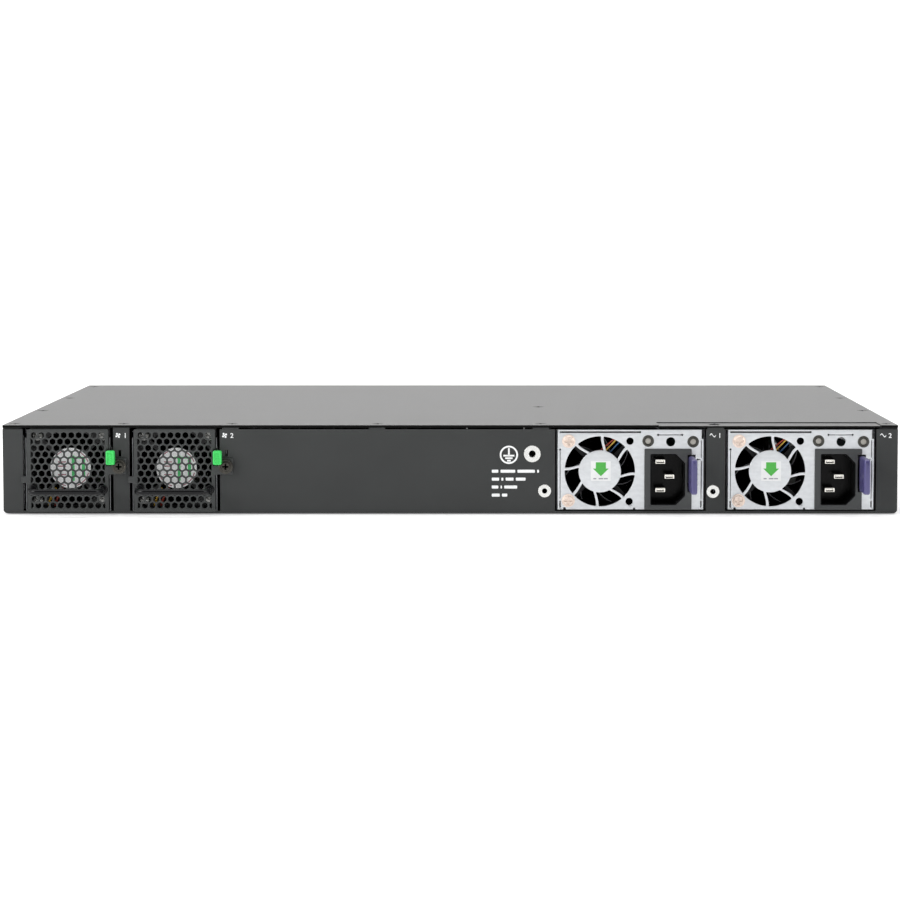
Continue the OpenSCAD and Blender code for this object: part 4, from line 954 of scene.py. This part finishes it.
def jack_liners():
    """Black plastic noses in the mouths of the jack blocks, and small windows in their corners."""
    low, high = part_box("rj45_blocks")
    starts = (low.x / MM, high.x / MM - JACKS_IN_ROW * JACK_PITCH - 1.8)
    near, liners, windows, numbers = BODY_DEPTH, Form(), Form(), Form()
    for block, start in enumerate(starts):
        for i in range(JACKS_IN_ROW):
            x = start + 0.9 + (i + 0.5) * JACK_PITCH
            for row, z in enumerate((9.3, 23.7)):
                base = z + 2.3 if row == 0 else z + 7.7
                nose = round_box(x - 6.05, x + 6.05, z + 0.05, z + 9.95, 0.3)
                opening = jack_opening(x, base, row == 1)
                liners.plate(nose, (near - 4, near + 0.35), [opening], bevel=0.12)
                corner = z + 9.15 if row == 0 else z + 0.85
                for side in (-1, 1):
                    windows.plate(round_box(x + side * 4.8 - 0.8, x + side * 4.8 + 0.8, corner - 0.45,
                                            corner + 0.45, 0.15), (near - 0.5, near + 0.42), bevel=0.08)
                column = (2 - block) * JACKS_IN_ROW - 1 - i
                number = 2 * column + 2 - row
                numbers.lettering(str(number), x + (3.4 if row else -3.4), 36.1, 1.6, near + 0.02,
                                  mirrored=True)
    liners.done("jack_noses", "chassis", "black_plastic", BLACK_PLASTIC)
    windows.done("jack_windows", "chassis", "light_clear", CLEAR)
    numbers.done("port_numbers", "chassis", "bezel_paint", PRINT)


def cage_springs():
    """The sprung fingers round the mouths of the optical cages."""
    low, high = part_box("sfp_cages")
    near = (high.y - REAR) / MM
    pitch, wall, left, bottom = 14.9, 1.0, low.x / MM, 9.3
    form = Form()
    for row in (0, 1):
        for column in (0, 1):
            x0 = left + column * pitch + wall
            z0 = bottom + wall + row * (8.9 + wall)
            for i in range(5):
                u = x0 + 1.2 + i * 2.4
                form.rod([(u + 0.6, near - 0.4, z0 + 0.15), (u + 0.6, near - 1.6, z0 + 0.75),
                          (u + 0.6, near - 4.0, z0 + 0.3)], 0.42, 8, 0.4)
                form.rod([(u + 0.6, near - 0.4, z0 + 8.75), (u + 0.6, near - 1.6, z0 + 8.15),
                          (u + 0.6, near - 4.0, z0 + 8.6)], 0.42, 8, 0.4)
    form.done("cage_springs", "chassis", "port_steel", PORT_STEEL)


# ---- studio ----

def studio_white(name, level, glow):
    """A matt white for the floor and the backdrop, which shines a little as a lit cloth does."""
    return finish(name, grey(level), 0.9, mottle=0.01, mottle_size=300, grain=0.05, grain_size=2,
                  specular=0.1, glow=glow)


def sweep():
    """A pale floor that curves up into a backdrop behind the object."""
    near, far, top, bend, half_width = -12, 2.6, 3.2, 0.9, 12
    curve = [(far - bend + u, bend + v) for u, v in arc(0, 0, bend, -90, 0, 12)]
    profile = [(near, 0)] + curve + [(far, top)]
    bm = bmesh.new()
    rows = [[bm.verts.new((x, y, z)) for y, z in profile] for x in (-half_width, half_width)]
    for i in range(len(profile) - 1):
        bm.faces.new((rows[0][i], rows[1][i], rows[1][i + 1], rows[0][i + 1]))
    mesh = bpy.data.meshes.new("studio_floor")
    bm.to_mesh(mesh)
    bm.free()
    mesh.shade_smooth()
    mesh.materials.append(studio_white("studio_cloth", 0.88, 0.3))
    floor = bpy.data.objects.new("studio_floor", mesh)
    bpy.context.scene.collection.objects.link(floor)


def soft_light(name, at, target, size, power):
    """A large area light that looks at a point."""
    lamp = bpy.data.lights.new(name, "AREA")
    lamp.shape = "RECTANGLE"
    lamp.size, lamp.size_y = size
    lamp.energy = power
    holder = bpy.data.objects.new(name, lamp)
    holder.location = at
    holder.rotation_mode = "QUATERNION"
    holder.rotation_quaternion = (Vector(target) - Vector(at)).to_track_quat("-Z", "Y")
    bpy.context.scene.collection.objects.link(holder)


def surround():
    """A white studio ahead and overhead that falls off to dusk behind the camera."""
    world = bpy.data.worlds.new("surround")
    world.use_nodes = True
    nodes, links = world.node_tree.nodes, world.node_tree.links
    axes = nodes.new("ShaderNodeSeparateXYZ")
    links.new(nodes.new("ShaderNodeTexCoord").outputs["Generated"], axes.inputs["Vector"])
    fall = nodes.new("ShaderNodeMapRange")
    fall.inputs["From Min"].default_value, fall.inputs["From Max"].default_value = -0.8, -0.1
    fall.inputs["To Min"].default_value, fall.inputs["To Max"].default_value = 0.10, 0.75
    links.new(axes.outputs["Y"], fall.inputs["Value"])
    links.new(fall.outputs["Result"], nodes["Background"].inputs["Strength"])
    nodes["Background"].inputs["Color"].default_value = (1, 1, 1, 1)
    bpy.context.scene.world = world


def studio():
    """A pale sweep, a soft surround, and large lights above and beside the camera."""
    surround()
    sweep()
    soft_light("overhead", (0, 0.5, 2.4), (0, 0.3, 0), (3.4, 2.6), 46)
    soft_light("left_bank", (-1.4, -1.0, 0.75), (-0.15, 0, 0.02), (0.8, 1.0), 17)
    soft_light("right_bank", (2.1, -1.2, 0.8), (0, 0, 0.02), (0.5, 1.4), 13)
    bpy.context.scene.view_settings.view_transform = "Standard"


CAMERA_X = 18.7
CAMERA_BACK = 1409
CAMERA_HEIGHT = 153
CAMERA_PITCH = 85.083
CAMERA_LENS = 115.09
CAMERA_SHIFT = -0.0426


def camera():
    """A long lens behind the rear wall, a little above it and looking slightly down."""
    lens = bpy.data.cameras.new("camera")
    lens.lens = CAMERA_LENS
    lens.sensor_width = 36
    lens.shift_x = CAMERA_SHIFT
    lens.clip_start, lens.clip_end = 0.05, 50
    holder = bpy.data.objects.new("camera", lens)
    holder.location = facing_rear(CAMERA_X, CAMERA_HEIGHT, -CAMERA_BACK)
    holder.rotation_euler = (math.radians(CAMERA_PITCH), 0, 0)
    bpy.context.scene.collection.objects.link(holder)
    bpy.context.scene.camera = holder


camera()
studio()
dress_cad_nodes()
rear_print()
top_strip()
for module in MODULES:
    fan_module(module)
    psu_module(module)
jack_liners()
cage_springs()
